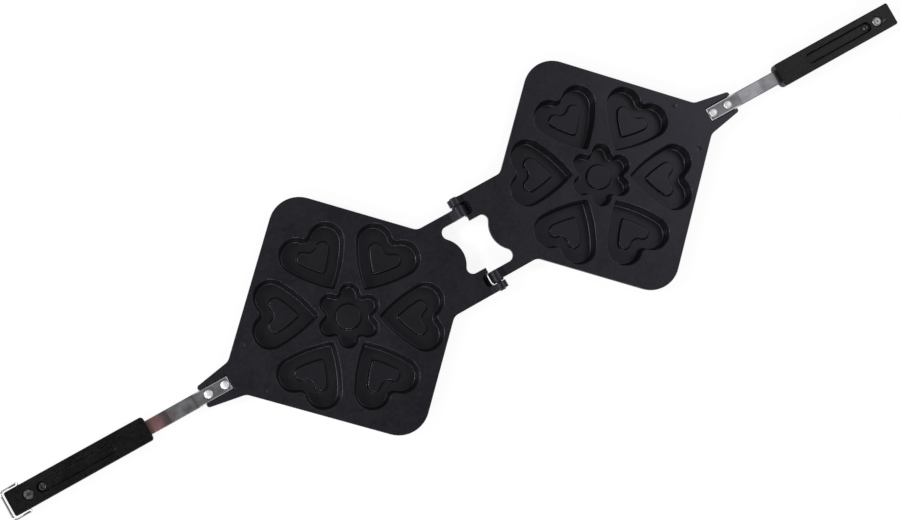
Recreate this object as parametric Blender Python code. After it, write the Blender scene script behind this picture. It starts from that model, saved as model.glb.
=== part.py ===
"""Heart waffle iron, lying open.

Two identical die-cast plates are joined by a hinge at one corner of each square, and a long grip
on a riveted steel strap leaves the opposite corner. Folded, the pan is locked by a wire bail
on the left grip.

Each half is modelled in its own half frame, in metres: x runs from the hinge axis out to the end
of the grip, y runs along the hinge axis and z runs up from the table. The right half lies that
way round in the world, and the left half is the same parts turned half a turn about z.
Heights named DROP are measured down from the flat face of the plate.
"""
import math

import bmesh
import bpy
from mathutils import Matrix, Vector

# Segments of round things
FILLET_STEPS = 4
CORNER_STEPS = 8
WIRE_STEPS = 8
HOLE_STEPS = 12
HEAD_STEPS = 16
DOME_STEPS = 3

# Clearances that all pieces share
ASSEMBLY_GAP = 0.0003
CLOSING_GAP = 0.0004
CUT_OVERRUN = 0.003

# Plate: a square stood on its corner, whose middle lies PLATE_REACH from the hinge axis
PLATE_SIDE = 0.160
PLATE_REACH = 0.1169
PLATE_CORNER_RADIUS = 0.024
FLANGE_THICKNESS = 0.0035
CAVITY_DEPTH = 0.0116
CAVITY_FLOOR = 0.0029
CAVITY_WALL = 0.0024
CAVITY_LIP = 0.0007
CAVITY_DRAFT_RUN = 0.0016
CAVITY_FILLET = 0.0007
BULGE_EDGE = 0.0008
ISLAND_HEIGHT = 0.0026
ISLAND_DRAFT_RUN = 0.0007

# Heart cavities, each with its tip towards the middle of the plate
HEART_COUNT = 6
HEART_FIRST_ANGLE = math.radians(30)
HEART_LOBE_SPREAD = 0.0129
HEART_LOBE_RADIUS = 0.0149
HEART_LOBE_REACH = 0.0606
HEART_CLEFT_RADIUS = 0.0031
HEART_TIP_REACH = 0.0265
HEART_TIP_RADIUS = 0.0032
HEART_FLANK_RADIUS = 0.1077

# Raised heart in the floor of each heart cavity
ISLAND_LOBE_SPREAD = 0.0087
ISLAND_LOBE_RADIUS = 0.0046
ISLAND_LOBE_REACH = 0.0570
ISLAND_CLEFT_RADIUS = 0.0072
ISLAND_TIP_REACH = 0.0414
ISLAND_TIP_RADIUS = 0.0015
ISLAND_FLANK_RADIUS = 0.0900

# Flower cavity in the middle, with a raised disc in its floor
PETAL_COUNT = 6
PETAL_REACH = 0.0176
PETAL_RADIUS = 0.0087
CUSP_RADIUS = 0.0020
FLOWER_DISC_RADIUS = 0.0096

# Locating bump and dimple near the grip's corner, one on each side of the middle line
LOCATOR_FROM_CORNER = 0.0305
LOCATOR_OFFSET = 0.0200
BUMP_RADIUS = 0.0014
BUMP_HEIGHT = 0.0010
DIMPLE_RADIUS = 0.0020
DIMPLE_DEPTH = 0.0018

# Hinge: each half has a slim arm, and a wide arm with a pocket and an ear for the other's slim arm
KNUCKLE_RADIUS = 0.0053
KNUCKLE_RAMP_REACH = 0.0085
ARM_DEPTH = 0.0080
ARM_ROOT_REACH = 0.0360
ARM_FADE_LENGTH = 0.0100
ARM_START = 0.0045
SLIM_ARM_INNER = 0.0243
SLIM_ARM_OUTER = 0.0330
WIDE_ARM_START = 0.0037
WIDE_ARM_INNER = 0.0194
EAR_SIDE_GAP = 0.0018
EAR_THICKNESS = 0.0060
POCKET_SIDE_GAP = 0.0004
POCKET_REACH_TOP = 0.0105
POCKET_REACH_LOW = 0.0047
ARM_FILLET = 0.0080

# Window edge between the two arms: two hollows with a round swell between them
WINDOW_SLIM_CORNER = 0.0291
WINDOW_SLIM_RADIUS = 0.0055
WINDOW_SWELL_REACH = 0.0074
WINDOW_SWELL_OFFSET = 0.00285
WINDOW_SWELL_RADIUS = 0.0210
WINDOW_WIDE_CORNER = 0.0217
WINDOW_WIDE_RADIUS = 0.0050

# Hinge pins
PIN_RADIUS = 0.0020
PIN_HEAD_RADIUS = 0.0030
PIN_HEAD_HEIGHT = 0.0006
PIN_END_WALL = 0.0012

# Socket for the strap: a tongue with a channel between two horns
SOCKET_LENGTH = 0.0155
SOCKET_DEPTH = 0.0090
HORN_ROOT_HALF_WIDTH = 0.0146
HORN_TIP_HALF_WIDTH = 0.0092
HORN_TIP_RADIUS = 0.0020
HORN_FILLET = 0.0080
SOCKET_BLOCK_LENGTH = 0.0395
SOCKET_LEDGE = 0.0004
SOCKET_DRAFT = 0.0008

# Steel strap from the socket into the grip
STRAP_OVERLAP = 0.0240
STRAP_WIDTH = 0.0116
STRAP_THICKNESS = 0.0018
STRAP_DROP = 0.0022
STRAP_STRAIGHT = 0.0065
STRAP_SLOPE_LENGTH = 0.0340
STRAP_BEND_RADIUS = 0.0150
TANG_DROP = 0.0050
TANG_END_WALL = 0.0103
CHANNEL_SIDE_GAP = 0.00035

# Rivets that hold the strap, measured from its end
RIVET_OFFSETS = (0.0045, 0.0187)
RIVET_RADIUS = 0.0020
RIVET_HEAD_RADIUS = 0.0036
RIVET_HEAD_HEIGHT = 0.0014

# Grip
GRIP_FROM_SLOPE = 0.0060
GRIP_LENGTH = 0.1153
GRIP_WIDTH = 0.0200
GRIP_DROP = 0.0005
GRIP_ROOT_THICKNESS = 0.0125
GRIP_END_THICKNESS = 0.0103
GRIP_INNER_EDGE = 0.0008
GRIP_OUTER_EDGE = 0.0045
GRIP_ROOT_ROUND = 0.0025
GRIP_END_ROUND = 0.0060
GRIP_END_CORNER = 0.0015
ROUND_STEP_SHARES = (0.0, 0.07, 0.29, 0.62, 1.0)
GROOVE_ROOT_WALL = 0.0275
GROOVE_END_WALL = 0.0228
GROOVE_WIDTH = 0.0084
GROOVE_DEPTH = 0.0032

# Screw, nut and eyelet that hold the tang in the grip
SCREW_FROM_END = 0.0158
SCREW_RADIUS = 0.0018
SCREW_HEAD_RADIUS = 0.0037
SCREW_HEAD_HEIGHT = 0.0019
SCREW_RECESS_DEPTH = 0.0024
SCREW_SLOT_WIDTH = 0.0009
SCREW_SLOT_DEPTH = 0.0009
NUT_ACROSS_FLATS = 0.0070
NUT_THICKNESS = 0.0024
NUT_POCKET_DEPTH = 0.0030
EYELET_RADIUS = 0.0020
EYELET_BORE_RADIUS = 0.0012
EYELET_RIM_RADIUS = 0.0028
EYELET_RIM_HEIGHT = 0.0006

# Wire bail on the left grip
BAIL_PIVOT_FROM_END = 0.0118
BAIL_PIVOT_DROP = 0.0028
BAIL_WIRE_RADIUS = 0.0010
BAIL_OVERHANG = 0.0048
BAIL_HALF_SPAN = 0.0120
BAIL_TABLE_GAP = 0.0002
BAIL_CORNER_RADIUS = 0.0035
BAIL_FOOT_RADIUS = 0.0017
BAIL_FOOT_LENGTH = 0.0040

# Sizes that follow from the ones above
PLATE_HEIGHT = CAVITY_DEPTH + CAVITY_FLOOR
HINGE_HEIGHT = PLATE_HEIGHT + CLOSING_GAP / 2
HALF_DIAGONAL = PLATE_SIDE / math.sqrt(2)
CORNER_REACH = PLATE_REACH + HALF_DIAGONAL
LOCATOR_REACH = CORNER_REACH - LOCATOR_FROM_CORNER
SOCKET_END = CORNER_REACH + SOCKET_LENGTH
SOCKET_BLOCK_ROOT = SOCKET_END - SOCKET_BLOCK_LENGTH
STRAP_START = SOCKET_END - STRAP_OVERLAP
STRAP_BEND_START = SOCKET_END + STRAP_STRAIGHT
STRAP_BEND_END = STRAP_BEND_START + STRAP_SLOPE_LENGTH
GRIP_START = STRAP_BEND_END + GRIP_FROM_SLOPE
GRIP_END = GRIP_START + GRIP_LENGTH
TANG_END = GRIP_END - TANG_END_WALL
GROOVE_START = GRIP_START + GROOVE_ROOT_WALL
GROOVE_END = GRIP_END - GROOVE_END_WALL
EYELET_REACH = GROOVE_END - GROOVE_WIDTH / 2
SCREW_REACH = GRIP_END - SCREW_FROM_END
BAIL_PIVOT_REACH = GRIP_END - BAIL_PIVOT_FROM_END
EAR_INNER = SLIM_ARM_OUTER + EAR_SIDE_GAP
EAR_OUTER = EAR_INNER + EAR_THICKNESS
SOCKET_LOW = PLATE_HEIGHT - SOCKET_DEPTH
STRAP_TOP = PLATE_HEIGHT - STRAP_DROP
CHANNEL_FLOOR = STRAP_TOP - STRAP_THICKNESS - ASSEMBLY_GAP
TANG_TOP = PLATE_HEIGHT - TANG_DROP
GRIP_TOP = PLATE_HEIGHT - GRIP_DROP
GROOVE_FLOOR = GRIP_TOP - GROOVE_DEPTH
BAIL_HEIGHT = PLATE_HEIGHT - BAIL_PIVOT_DROP
BAIL_REACH = GRIP_END + BAIL_OVERHANG - BAIL_WIRE_RADIUS - BAIL_PIVOT_REACH
BAIL_FALL = BAIL_HEIGHT - BAIL_WIRE_RADIUS - BAIL_TABLE_GAP
BAIL_LENGTH = math.hypot(BAIL_REACH, BAIL_FALL)
HINGE_X = BAIL_OVERHANG / 2


def grip_low(x):
    """Height of the grip's outer face at x, which tapers from the strap's end to the free end."""
    share = (x - GRIP_START) / GRIP_LENGTH
    return GRIP_TOP - GRIP_ROOT_THICKNESS + share * (GRIP_ROOT_THICKNESS - GRIP_END_THICKNESS)


# Outlines

def arc(centre, radius, start, end, steps):
    """Points round a circle from one angle to another, without the last one."""
    turn = (end - start) / steps
    angles = [start + turn * step for step in range(steps)]
    return [(centre[0] + radius * math.cos(a), centre[1] + radius * math.sin(a)) for a in angles]


def circle(radius, steps):
    """A full circle about the origin."""
    return arc((0, 0), radius, 0, math.tau, steps)


def rounded(corners):
    """An outline through corners of (x, y, fillet radius, steps), each corner turned to an arc."""
    outline = []
    for index, (x, y, radius, steps) in enumerate(corners):
        if not radius:
            outline.append((x, y))
            continue
        here = Vector((x, y))
        before = (Vector(corners[index - 1][:2]) - here).normalized()
        after = (Vector(corners[(index + 1) % len(corners)][:2]) - here).normalized()
        half_angle = before.angle(after) / 2
        centre = here + (before + after).normalized() * (radius / math.sin(half_angle))
        first = here + before * (radius / math.tan(half_angle)) - centre
        sweep = (math.pi - 2 * half_angle) * math.copysign(1, before.cross(after)) * -1
        start = math.atan2(first.y, first.x)
        outline += arc(centre, radius, start, start + sweep, steps)
        outline.append(tuple(centre + Matrix.Rotation(sweep, 2) @ first))
    return outline


def heart(lobe, cleft_radius, tip, flank_radius, inset):
    """A heart with its tip down, made of arcs that run into each other.

    lobe is (spread, reach, radius) and tip is (reach, radius). The outline moves inwards by inset,
    so that the outlines of a drafted wall are parallel and have equal numbers of points.
    """
    spread, reach, lobe_radius = lobe
    tip_reach, tip_radius = tip
    lobe_centre = Vector((spread, reach))
    tip_centre = Vector((0, tip_reach))
    cleft_centre = Vector((0, reach + math.sqrt((lobe_radius + cleft_radius) ** 2 - spread ** 2)))
    # The flank's circle holds the lobe's and the tip's circles and touches both from inside
    along = tip_centre - lobe_centre
    to_lobe = flank_radius - lobe_radius
    to_tip = flank_radius - tip_radius
    foot = (to_lobe ** 2 - to_tip ** 2 + along.length_squared) / (2 * along.length)
    aside = math.sqrt(to_lobe ** 2 - foot ** 2)
    unit = along.normalized()
    flank_centre = lobe_centre + unit * foot + Vector((unit.y, -unit.x)) * aside
    low = tip_centre - flank_centre
    high = lobe_centre - flank_centre
    low_angle = math.atan2(low.y, low.x)
    high_angle = math.atan2(high.y, high.x)
    rise = cleft_centre - lobe_centre
    rise_angle = math.atan2(rise.y, rise.x)
    right_side = arc(tip_centre, tip_radius - inset, -math.pi / 2, low_angle, 2)
    right_side += arc(flank_centre, flank_radius - inset, low_angle, high_angle, 3)
    right_side += arc(lobe_centre, lobe_radius - inset, high_angle, rise_angle, 7)
    right_side += arc(cleft_centre, cleft_radius + inset, rise_angle - math.pi, -math.pi / 2, 2)
    middle = (0, cleft_centre.y - cleft_radius - inset)
    return right_side + [middle] + [(-x, y) for x, y in reversed(right_side[1:])]


def heart_cavity_outline(inset):
    """Outline of a heart cavity at one depth."""
    lobe = (HEART_LOBE_SPREAD, HEART_LOBE_REACH, HEART_LOBE_RADIUS)
    tip = (HEART_TIP_REACH, HEART_TIP_RADIUS)
    return heart(lobe, HEART_CLEFT_RADIUS, tip, HEART_FLANK_RADIUS, inset)


def heart_island_outline(inset):
    """Outline of the raised heart at one height."""
    lobe = (ISLAND_LOBE_SPREAD, ISLAND_LOBE_REACH, ISLAND_LOBE_RADIUS)
    tip = (ISLAND_TIP_REACH, ISLAND_TIP_RADIUS)
    return heart(lobe, ISLAND_CLEFT_RADIUS, tip, ISLAND_FLANK_RADIUS, inset)


def flower_cavity_outline(inset):
    """Round petals with a small hollow arc between each pair."""
    half_pitch = math.pi / PETAL_COUNT
    touching = PETAL_RADIUS + CUSP_RADIUS
    across = PETAL_REACH * math.sin(half_pitch)
    cusp_reach = PETAL_REACH * math.cos(half_pitch) + math.sqrt(touching ** 2 - across ** 2)
    lean = math.atan2(cusp_reach * math.sin(half_pitch), cusp_reach * math.cos(half_pitch) - PETAL_REACH)
    outline = []
    for petal in range(PETAL_COUNT):
        middle = 2 * half_pitch * petal
        cusp = middle + half_pitch
        petal_centre = (PETAL_REACH * math.cos(middle), PETAL_REACH * math.sin(middle))
        cusp_centre = (cusp_reach * math.cos(cusp), cusp_reach * math.sin(cusp))
        outline += arc(petal_centre, PETAL_RADIUS - inset, middle - lean, middle + lean, 6)
        start = middle + lean - math.pi
        end = cusp + half_pitch - lean + math.pi
        outline += arc(cusp_centre, CUSP_RADIUS + inset, start, end - math.tau, 2)
    return outline


def flower_disc_outline(inset):
    """A circle with a point for each point of the flower."""
    angles = [math.atan2(y, x) for x, y in flower_cavity_outline(0)]
    radius = FLOWER_DISC_RADIUS - inset
    return [(radius * math.cos(a), radius * math.sin(a)) for a in angles]


def plate_outline():
    """Outline of the casting seen from above: arms, square plate and horns in one line."""
    return rounded([
        (ARM_START, -SLIM_ARM_OUTER, 0, 0),
        (PLATE_REACH - HALF_DIAGONAL + SLIM_ARM_OUTER, -SLIM_ARM_OUTER, ARM_FILLET, FILLET_STEPS),
        (PLATE_REACH, -HALF_DIAGONAL, PLATE_CORNER_RADIUS, CORNER_STEPS),
        (CORNER_REACH - HORN_ROOT_HALF_WIDTH, -HORN_ROOT_HALF_WIDTH, HORN_FILLET, FILLET_STEPS),
        (SOCKET_END, -HORN_TIP_HALF_WIDTH, HORN_TIP_RADIUS, FILLET_STEPS),
        (SOCKET_END, HORN_TIP_HALF_WIDTH, HORN_TIP_RADIUS, FILLET_STEPS),
        (CORNER_REACH - HORN_ROOT_HALF_WIDTH, HORN_ROOT_HALF_WIDTH, HORN_FILLET, FILLET_STEPS),
        (PLATE_REACH, HALF_DIAGONAL, PLATE_CORNER_RADIUS, CORNER_STEPS),
        (PLATE_REACH - HALF_DIAGONAL + EAR_OUTER, EAR_OUTER, ARM_FILLET, FILLET_STEPS),
        (WIDE_ARM_START, EAR_OUTER, 0, 0),
        (WIDE_ARM_START, WIDE_ARM_INNER, 0, 0),
        (WINDOW_WIDE_CORNER, WIDE_ARM_INNER, WINDOW_WIDE_RADIUS, FILLET_STEPS),
        (WINDOW_SWELL_REACH, -WINDOW_SWELL_OFFSET, WINDOW_SWELL_RADIUS, 8),
        (WINDOW_SLIM_CORNER, -SLIM_ARM_INNER, WINDOW_SLIM_RADIUS, FILLET_STEPS),
        (ARM_START, -SLIM_ARM_INNER, 0, 0),
    ])


def socket_outline(inset):
    """Outline of the block under the horns, inset from the horns' own edges."""
    root = CORNER_REACH - HORN_ROOT_HALF_WIDTH
    slope = (HORN_ROOT_HALF_WIDTH - HORN_TIP_HALF_WIDTH) / (SOCKET_END - root)
    root_half = HORN_ROOT_HALF_WIDTH + slope * (root - SOCKET_BLOCK_ROOT) - inset
    tip_half = HORN_TIP_HALF_WIDTH - inset
    return rounded([
        (SOCKET_BLOCK_ROOT + inset, -root_half, HORN_TIP_RADIUS, 2),
        (SOCKET_END - inset, -tip_half, HORN_TIP_RADIUS, 4),
        (SOCKET_END - inset, tip_half, HORN_TIP_RADIUS, 4),
        (SOCKET_BLOCK_ROOT + inset, root_half, HORN_TIP_RADIUS, 2),
    ])


def tangent_angle(point, radius, side):
    """Angle of the point where a line from point touches a circle about the origin."""
    distance = math.hypot(*point)
    return math.atan2(point[1], point[0]) + side * math.acos(radius / distance)


def knuckle_profile():
    """Side view of a slim arm or an ear, as (x, height) from the hinge axis."""
    face = PLATE_HEIGHT - HINGE_HEIGHT
    inside = face - FLANGE_THICKNESS / 2
    low = face - ARM_DEPTH
    ramp_foot = (KNUCKLE_RAMP_REACH, face)
    heel = (ARM_START, low)
    start = tangent_angle(ramp_foot, KNUCKLE_RADIUS, 1)
    end = tangent_angle(heel, KNUCKLE_RADIUS, -1) + math.tau
    profile = [ramp_foot] + arc((0, 0), KNUCKLE_RADIUS, start, end, HOLE_STEPS)
    profile.append((KNUCKLE_RADIUS * math.cos(end), KNUCKLE_RADIUS * math.sin(end)))
    fade_end = ARM_ROOT_REACH + ARM_FADE_LENGTH
    profile += [heel, (ARM_ROOT_REACH, low), (fade_end, inside), (KNUCKLE_RAMP_REACH, inside)]
    return profile


def arm_block_profile():
    """Side view of the thick root of the wide arm, as (x, height) from the hinge axis."""
    face = PLATE_HEIGHT - HINGE_HEIGHT
    inside = face - FLANGE_THICKNESS / 2
    low = face - ARM_DEPTH
    fade_end = ARM_ROOT_REACH + ARM_FADE_LENGTH
    return [(WIDE_ARM_START, inside), (WIDE_ARM_START, low), (ARM_ROOT_REACH, low), (fade_end, inside)]


def pocket_profile():
    """Side view of the pocket that the other half's knuckle turns in."""
    face = PLATE_HEIGHT - HINGE_HEIGHT
    slope = (POCKET_REACH_TOP - POCKET_REACH_LOW) / ARM_DEPTH
    mouth = -KNUCKLE_RADIUS - CUT_OVERRUN
    top = face + CUT_OVERRUN
    low = face - ARM_DEPTH - CUT_OVERRUN
    top_reach = POCKET_REACH_TOP + slope * CUT_OVERRUN
    low_reach = POCKET_REACH_LOW - slope * CUT_OVERRUN
    return [(mouth, low), (low_reach, low), (top_reach, top), (mouth, top)]


# Solids

def body(rings):
    """A closed mesh over rings of equal length, the first and last ring filled as caps."""
    shell = bmesh.new()
    loops = [[shell.verts.new(point) for point in ring] for ring in rings]
    for near, far in zip(loops, loops[1:]):
        for index in range(len(near)):
            after = (index + 1) % len(near)
            shell.faces.new((near[index], near[after], far[after], far[index]))
    shell.faces.new(reversed(loops[0]))
    shell.faces.new(loops[-1])
    bmesh.ops.recalc_face_normals(shell, faces=shell.faces)
    mesh = bpy.data.meshes.new("solid")
    shell.to_mesh(mesh)
    shell.free()
    return mesh


def upright(levels):
    """A solid of flat outlines, given as (outline, height) pairs."""
    return body([[(x, y, z) for x, y in outline] for outline, z in levels])


def prism(outline, low, high):
    """An upright prism."""
    return upright([(outline, low), (outline, high)])


def side_prism(profile, near, far):
    """A prism along y between two values, whose profile is (x, height) from the hinge axis."""
    return body([[(x, y, HINGE_HEIGHT + z) for x, z in profile] for y in (near, far)])


def upright_turned(x, y, profile, steps):
    """A turned solid about an upright line, from (radius, height) pairs going up."""
    levels = []
    for radius, z in profile:
        levels.append(([(x + px, y + py) for px, py in circle(radius, steps)], z))
    return upright(levels)


def level_turned(x, z, profile, steps):
    """A turned solid about a line along y, from (radius, y) pairs."""
    return body([[(x + px, y, z + pz) for px, pz in circle(radius, steps)] for radius, y in profile])


def dome(rim, crown, seat, height):
    """(radius, height) pairs of a low round head, from its rim at the seat to its small flat crown."""
    angles = [step * math.pi / 2 / DOME_STEPS for step in range(DOME_STEPS + 1)]
    return [(crown + (rim - crown) * math.cos(a), seat + height * math.sin(a)) for a in angles]


def combined(mesh, operation, tools):
    """The mesh with each tool joined to it (UNION) or cut out of it (DIFFERENCE)."""
    workpiece = bpy.data.objects.new("workpiece", mesh)
    helpers = [workpiece]
    bpy.context.collection.objects.link(workpiece)
    for tool in tools:
        helper = bpy.data.objects.new("tool", tool)
        helper.hide_render = True
        helper.display_type = 'WIRE'
        bpy.context.collection.objects.link(helper)
        helpers.append(helper)
        step = workpiece.modifiers.new("step", 'BOOLEAN')
        step.operation = operation
        step.solver = 'EXACT'
        step.object = helper
    graph = bpy.context.evaluated_depsgraph_get()
    result = bpy.data.meshes.new_from_object(workpiece.evaluated_get(graph))
    for helper in helpers:
        bpy.data.objects.remove(helper)
    return result


def joined(mesh, *tools):
    """The mesh with the tools added."""
    return combined(mesh, 'UNION', tools)


def cut(mesh, *tools):
    """The mesh with the tools taken away."""
    return combined(mesh, 'DIFFERENCE', tools)


def smooth(mesh):
    """Shades round faces smooth and keeps real edges sharp."""
    mesh.shade_smooth()
    mesh.set_sharp_from_angle(angle=math.radians(32))
    return mesh


# The cast plate

def on_plate(outline, turn):
    """Turns an outline about the plate's middle and moves it there."""
    c, s = math.cos(turn), math.sin(turn)
    return [(PLATE_REACH + c * x - s * y, c * y + s * x) for x, y in outline]


def cavity_cutter(outline, island, turn):
    """The space of one cavity: lip, drafted wall, fillet and floor, with the island left standing."""
    floor = PLATE_HEIGHT - CAVITY_DEPTH
    wall_base = CAVITY_LIP + CAVITY_DRAFT_RUN
    levels = [
        (outline(0), PLATE_HEIGHT + CUT_OVERRUN),
        (outline(0), PLATE_HEIGHT),
        (outline(CAVITY_LIP), PLATE_HEIGHT - CAVITY_LIP),
        (outline(wall_base), floor + CAVITY_FILLET),
        (outline(wall_base + CAVITY_FILLET), floor),
        (island(-ISLAND_DRAFT_RUN), floor),
        (island(0), floor + ISLAND_HEIGHT),
    ]
    return upright([(on_plate(points, turn), z) for points, z in levels])


def cavity_bulge(outline, turn):
    """The outside of one cavity, which shows under the plate and stands on the stove."""
    top_inset = CAVITY_LIP - CAVITY_WALL
    low_inset = top_inset + CAVITY_DRAFT_RUN
    levels = [
        (outline(low_inset + BULGE_EDGE), 0),
        (outline(low_inset), BULGE_EDGE),
        (outline(top_inset), PLATE_HEIGHT - FLANGE_THICKNESS / 2),
    ]
    return upright([(on_plate(points, turn), z) for points, z in levels])


def heart_turns():
    """Angles that take a heart with its tip down to its place round the flower."""
    pitch = math.tau / HEART_COUNT
    return [HEART_FIRST_ANGLE + pitch * index - math.pi / 2 for index in range(HEART_COUNT)]


def plate_mesh():
    """One casting. Both halves of the pan use it."""
    flange_low = PLATE_HEIGHT - FLANGE_THICKNESS
    inside = PLATE_HEIGHT - FLANGE_THICKNESS / 2
    slab = prism(plate_outline(), flange_low, PLATE_HEIGHT)
    bulges = [cavity_bulge(heart_cavity_outline, turn) for turn in heart_turns()]
    bulges.append(cavity_bulge(flower_cavity_outline, 0))
    socket = upright([
        (socket_outline(SOCKET_LEDGE + SOCKET_DRAFT), SOCKET_LOW),
        (socket_outline(SOCKET_LEDGE), inside),
    ])
    slim_arm = side_prism(knuckle_profile(), -SLIM_ARM_OUTER, -SLIM_ARM_INNER)
    ear = side_prism(knuckle_profile(), EAR_INNER, EAR_OUTER)
    wide_arm = side_prism(arm_block_profile(), WIDE_ARM_INNER, EAR_INNER + EAR_THICKNESS / 2)
    bump_profile = [(BUMP_RADIUS, inside), (BUMP_RADIUS, PLATE_HEIGHT),
                    (BUMP_RADIUS / 2, PLATE_HEIGHT + BUMP_HEIGHT)]
    bump = upright_turned(LOCATOR_REACH, LOCATOR_OFFSET, bump_profile, WIRE_STEPS)
    whole = joined(slab, *bulges, socket, slim_arm, ear, wide_arm, bump)
    return cut(whole, *plate_cutters())


def plate_cutters():
    """Everything that is taken out of the casting."""
    cutters = [cavity_cutter(heart_cavity_outline, heart_island_outline, turn) for turn in heart_turns()]
    cutters.append(cavity_cutter(flower_cavity_outline, flower_disc_outline, 0))
    cutters.append(side_prism(pocket_profile(), SLIM_ARM_INNER - POCKET_SIDE_GAP, EAR_INNER))
    bore = PIN_RADIUS + ASSEMBLY_GAP
    ear_bore = [(bore, EAR_INNER - CUT_OVERRUN), (bore, EAR_OUTER + CUT_OVERRUN)]
    arm_bore = [(bore, -SLIM_ARM_OUTER - CUT_OVERRUN), (bore, -SLIM_ARM_INNER - PIN_END_WALL)]
    cutters.append(level_turned(0, HINGE_HEIGHT, ear_bore, HOLE_STEPS))
    cutters.append(level_turned(0, HINGE_HEIGHT, arm_bore, HOLE_STEPS))
    channel_half = STRAP_WIDTH / 2 + CHANNEL_SIDE_GAP
    channel = rounded([
        (STRAP_START - ASSEMBLY_GAP, -channel_half, 0, 0),
        (SOCKET_END + CUT_OVERRUN, -channel_half, 0, 0),
        (SOCKET_END + CUT_OVERRUN, channel_half, 0, 0),
        (STRAP_START - ASSEMBLY_GAP, channel_half, 0, 0),
    ])
    cutters.append(prism(channel, CHANNEL_FLOOR, PLATE_HEIGHT + CUT_OVERRUN))
    hole = RIVET_RADIUS + ASSEMBLY_GAP
    for offset in RIVET_OFFSETS:
        profile = [(hole, SOCKET_LOW - CUT_OVERRUN), (hole, PLATE_HEIGHT)]
        cutters.append(upright_turned(STRAP_START + offset, 0, profile, HOLE_STEPS))
    dimple_low = PLATE_HEIGHT - DIMPLE_DEPTH
    dimple = [(DIMPLE_RADIUS / 2, dimple_low), (DIMPLE_RADIUS, PLATE_HEIGHT),
              (DIMPLE_RADIUS, PLATE_HEIGHT + CUT_OVERRUN)]
    cutters.append(upright_turned(LOCATOR_REACH, -LOCATOR_OFFSET, dimple, WIRE_STEPS))
    return cutters


# Hinge pin, strap and rivets

def pin_mesh():
    """Pin from the ear's outer side to the blind end of the other half's slim arm."""
    tip = SLIM_ARM_INNER + PIN_END_WALL + ASSEMBLY_GAP
    seat = EAR_OUTER + ASSEMBLY_GAP
    profile = [(PIN_RADIUS, tip), (PIN_RADIUS, seat)]
    profile += dome(PIN_HEAD_RADIUS, PIN_RADIUS, seat, PIN_HEAD_HEIGHT)
    return level_turned(0, HINGE_HEIGHT, profile, HOLE_STEPS)


def strap_mesh():
    """Flat bar that lies in the channel, steps down behind the horns and runs on into the grip."""
    upper = [(STRAP_START, STRAP_TOP), (STRAP_BEND_START, STRAP_TOP),
             (STRAP_BEND_END, TANG_TOP), (TANG_END, TANG_TOP)]
    lower = [(x, z - STRAP_THICKNESS) for x, z in reversed(upper)]
    radii = [0, STRAP_BEND_RADIUS, STRAP_BEND_RADIUS, 0]
    corners = [(x, z, r, 3 if r else 0) for (x, z), r in zip(upper + lower, radii + radii)]
    profile = [(x, z - HINGE_HEIGHT) for x, z in rounded(corners)]
    bar = side_prism(profile, -STRAP_WIDTH / 2, STRAP_WIDTH / 2)
    reaches = [(STRAP_START + offset, RIVET_RADIUS, STRAP_TOP) for offset in RIVET_OFFSETS]
    reaches.append((SCREW_REACH, SCREW_RADIUS, TANG_TOP))
    reaches.append((EYELET_REACH, EYELET_RADIUS, TANG_TOP))
    holes = []
    for reach, radius, top in reaches:
        hole = radius + ASSEMBLY_GAP
        profile = [(hole, top - STRAP_THICKNESS - CUT_OVERRUN), (hole, top + CUT_OVERRUN)]
        holes.append(upright_turned(reach, 0, profile, HOLE_STEPS))
    return cut(bar, *holes)


def rivet_mesh(offset):
    """Rivet with a low round head over the strap and another under the tongue."""
    seat = STRAP_TOP + ASSEMBLY_GAP
    heel = SOCKET_LOW - ASSEMBLY_GAP
    profile = list(reversed(dome(RIVET_HEAD_RADIUS, RIVET_RADIUS, heel, -RIVET_HEAD_HEIGHT)))
    profile += [(RIVET_RADIUS, heel), (RIVET_RADIUS, seat)]
    profile += dome(RIVET_HEAD_RADIUS, RIVET_RADIUS, seat, RIVET_HEAD_HEIGHT)
    return upright_turned(STRAP_START + offset, 0, profile, HOLE_STEPS)


# Grip and what holds it

def rounding(distance, radius):
    """How far a quarter-round end draws in at a distance from that end."""
    left = max(radius - distance, 0)
    return radius - math.sqrt(max(radius ** 2 - left ** 2, 0))


def grip_section(x):
    """Cross-section of the grip at x, flat on the inner side and well rounded outside."""
    from_root = x - GRIP_START
    from_end = GRIP_END - x
    half = GRIP_WIDTH / 2 - rounding(from_root, GRIP_ROOT_ROUND) - rounding(from_end, GRIP_END_CORNER)
    low = grip_low(x) + rounding(from_end, GRIP_END_ROUND)
    edge = min(GRIP_OUTER_EDGE, (GRIP_TOP - low) / 2)
    section = rounded([
        (-half, low, edge, 4), (half, low, edge, 4),
        (half, GRIP_TOP, GRIP_INNER_EDGE, 2), (-half, GRIP_TOP, GRIP_INNER_EDGE, 2),
    ])
    return [(x, y, z) for y, z in section]


def grip_stations():
    """Places of the grip's cross-sections, close together at both rounded ends."""
    stations = [GRIP_START + share * GRIP_ROOT_ROUND for share in ROUND_STEP_SHARES]
    ends = [share * GRIP_END_ROUND for share in ROUND_STEP_SHARES]
    ends.append(GRIP_END_CORNER)
    return sorted(set(stations + [GRIP_END - distance for distance in ends]))


def groove_outline():
    """The long recess in the inner face, with round ends."""
    half = GROOVE_WIDTH / 2
    first = arc((GROOVE_START + half, 0), half, math.pi / 2, 3 * math.pi / 2, 8)
    last = arc((GROOVE_END - half, 0), half, -math.pi / 2, math.pi / 2, 8)
    return first + [(GROOVE_START + half, -half)] + last + [(GROOVE_END - half, half)]


def hexagon(across_flats):
    """A hexagon about the origin."""
    return circle(across_flats / math.sqrt(3), 6)


def moved(outline, x):
    """The outline moved along x."""
    return [(px + x, py) for px, py in outline]


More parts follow.
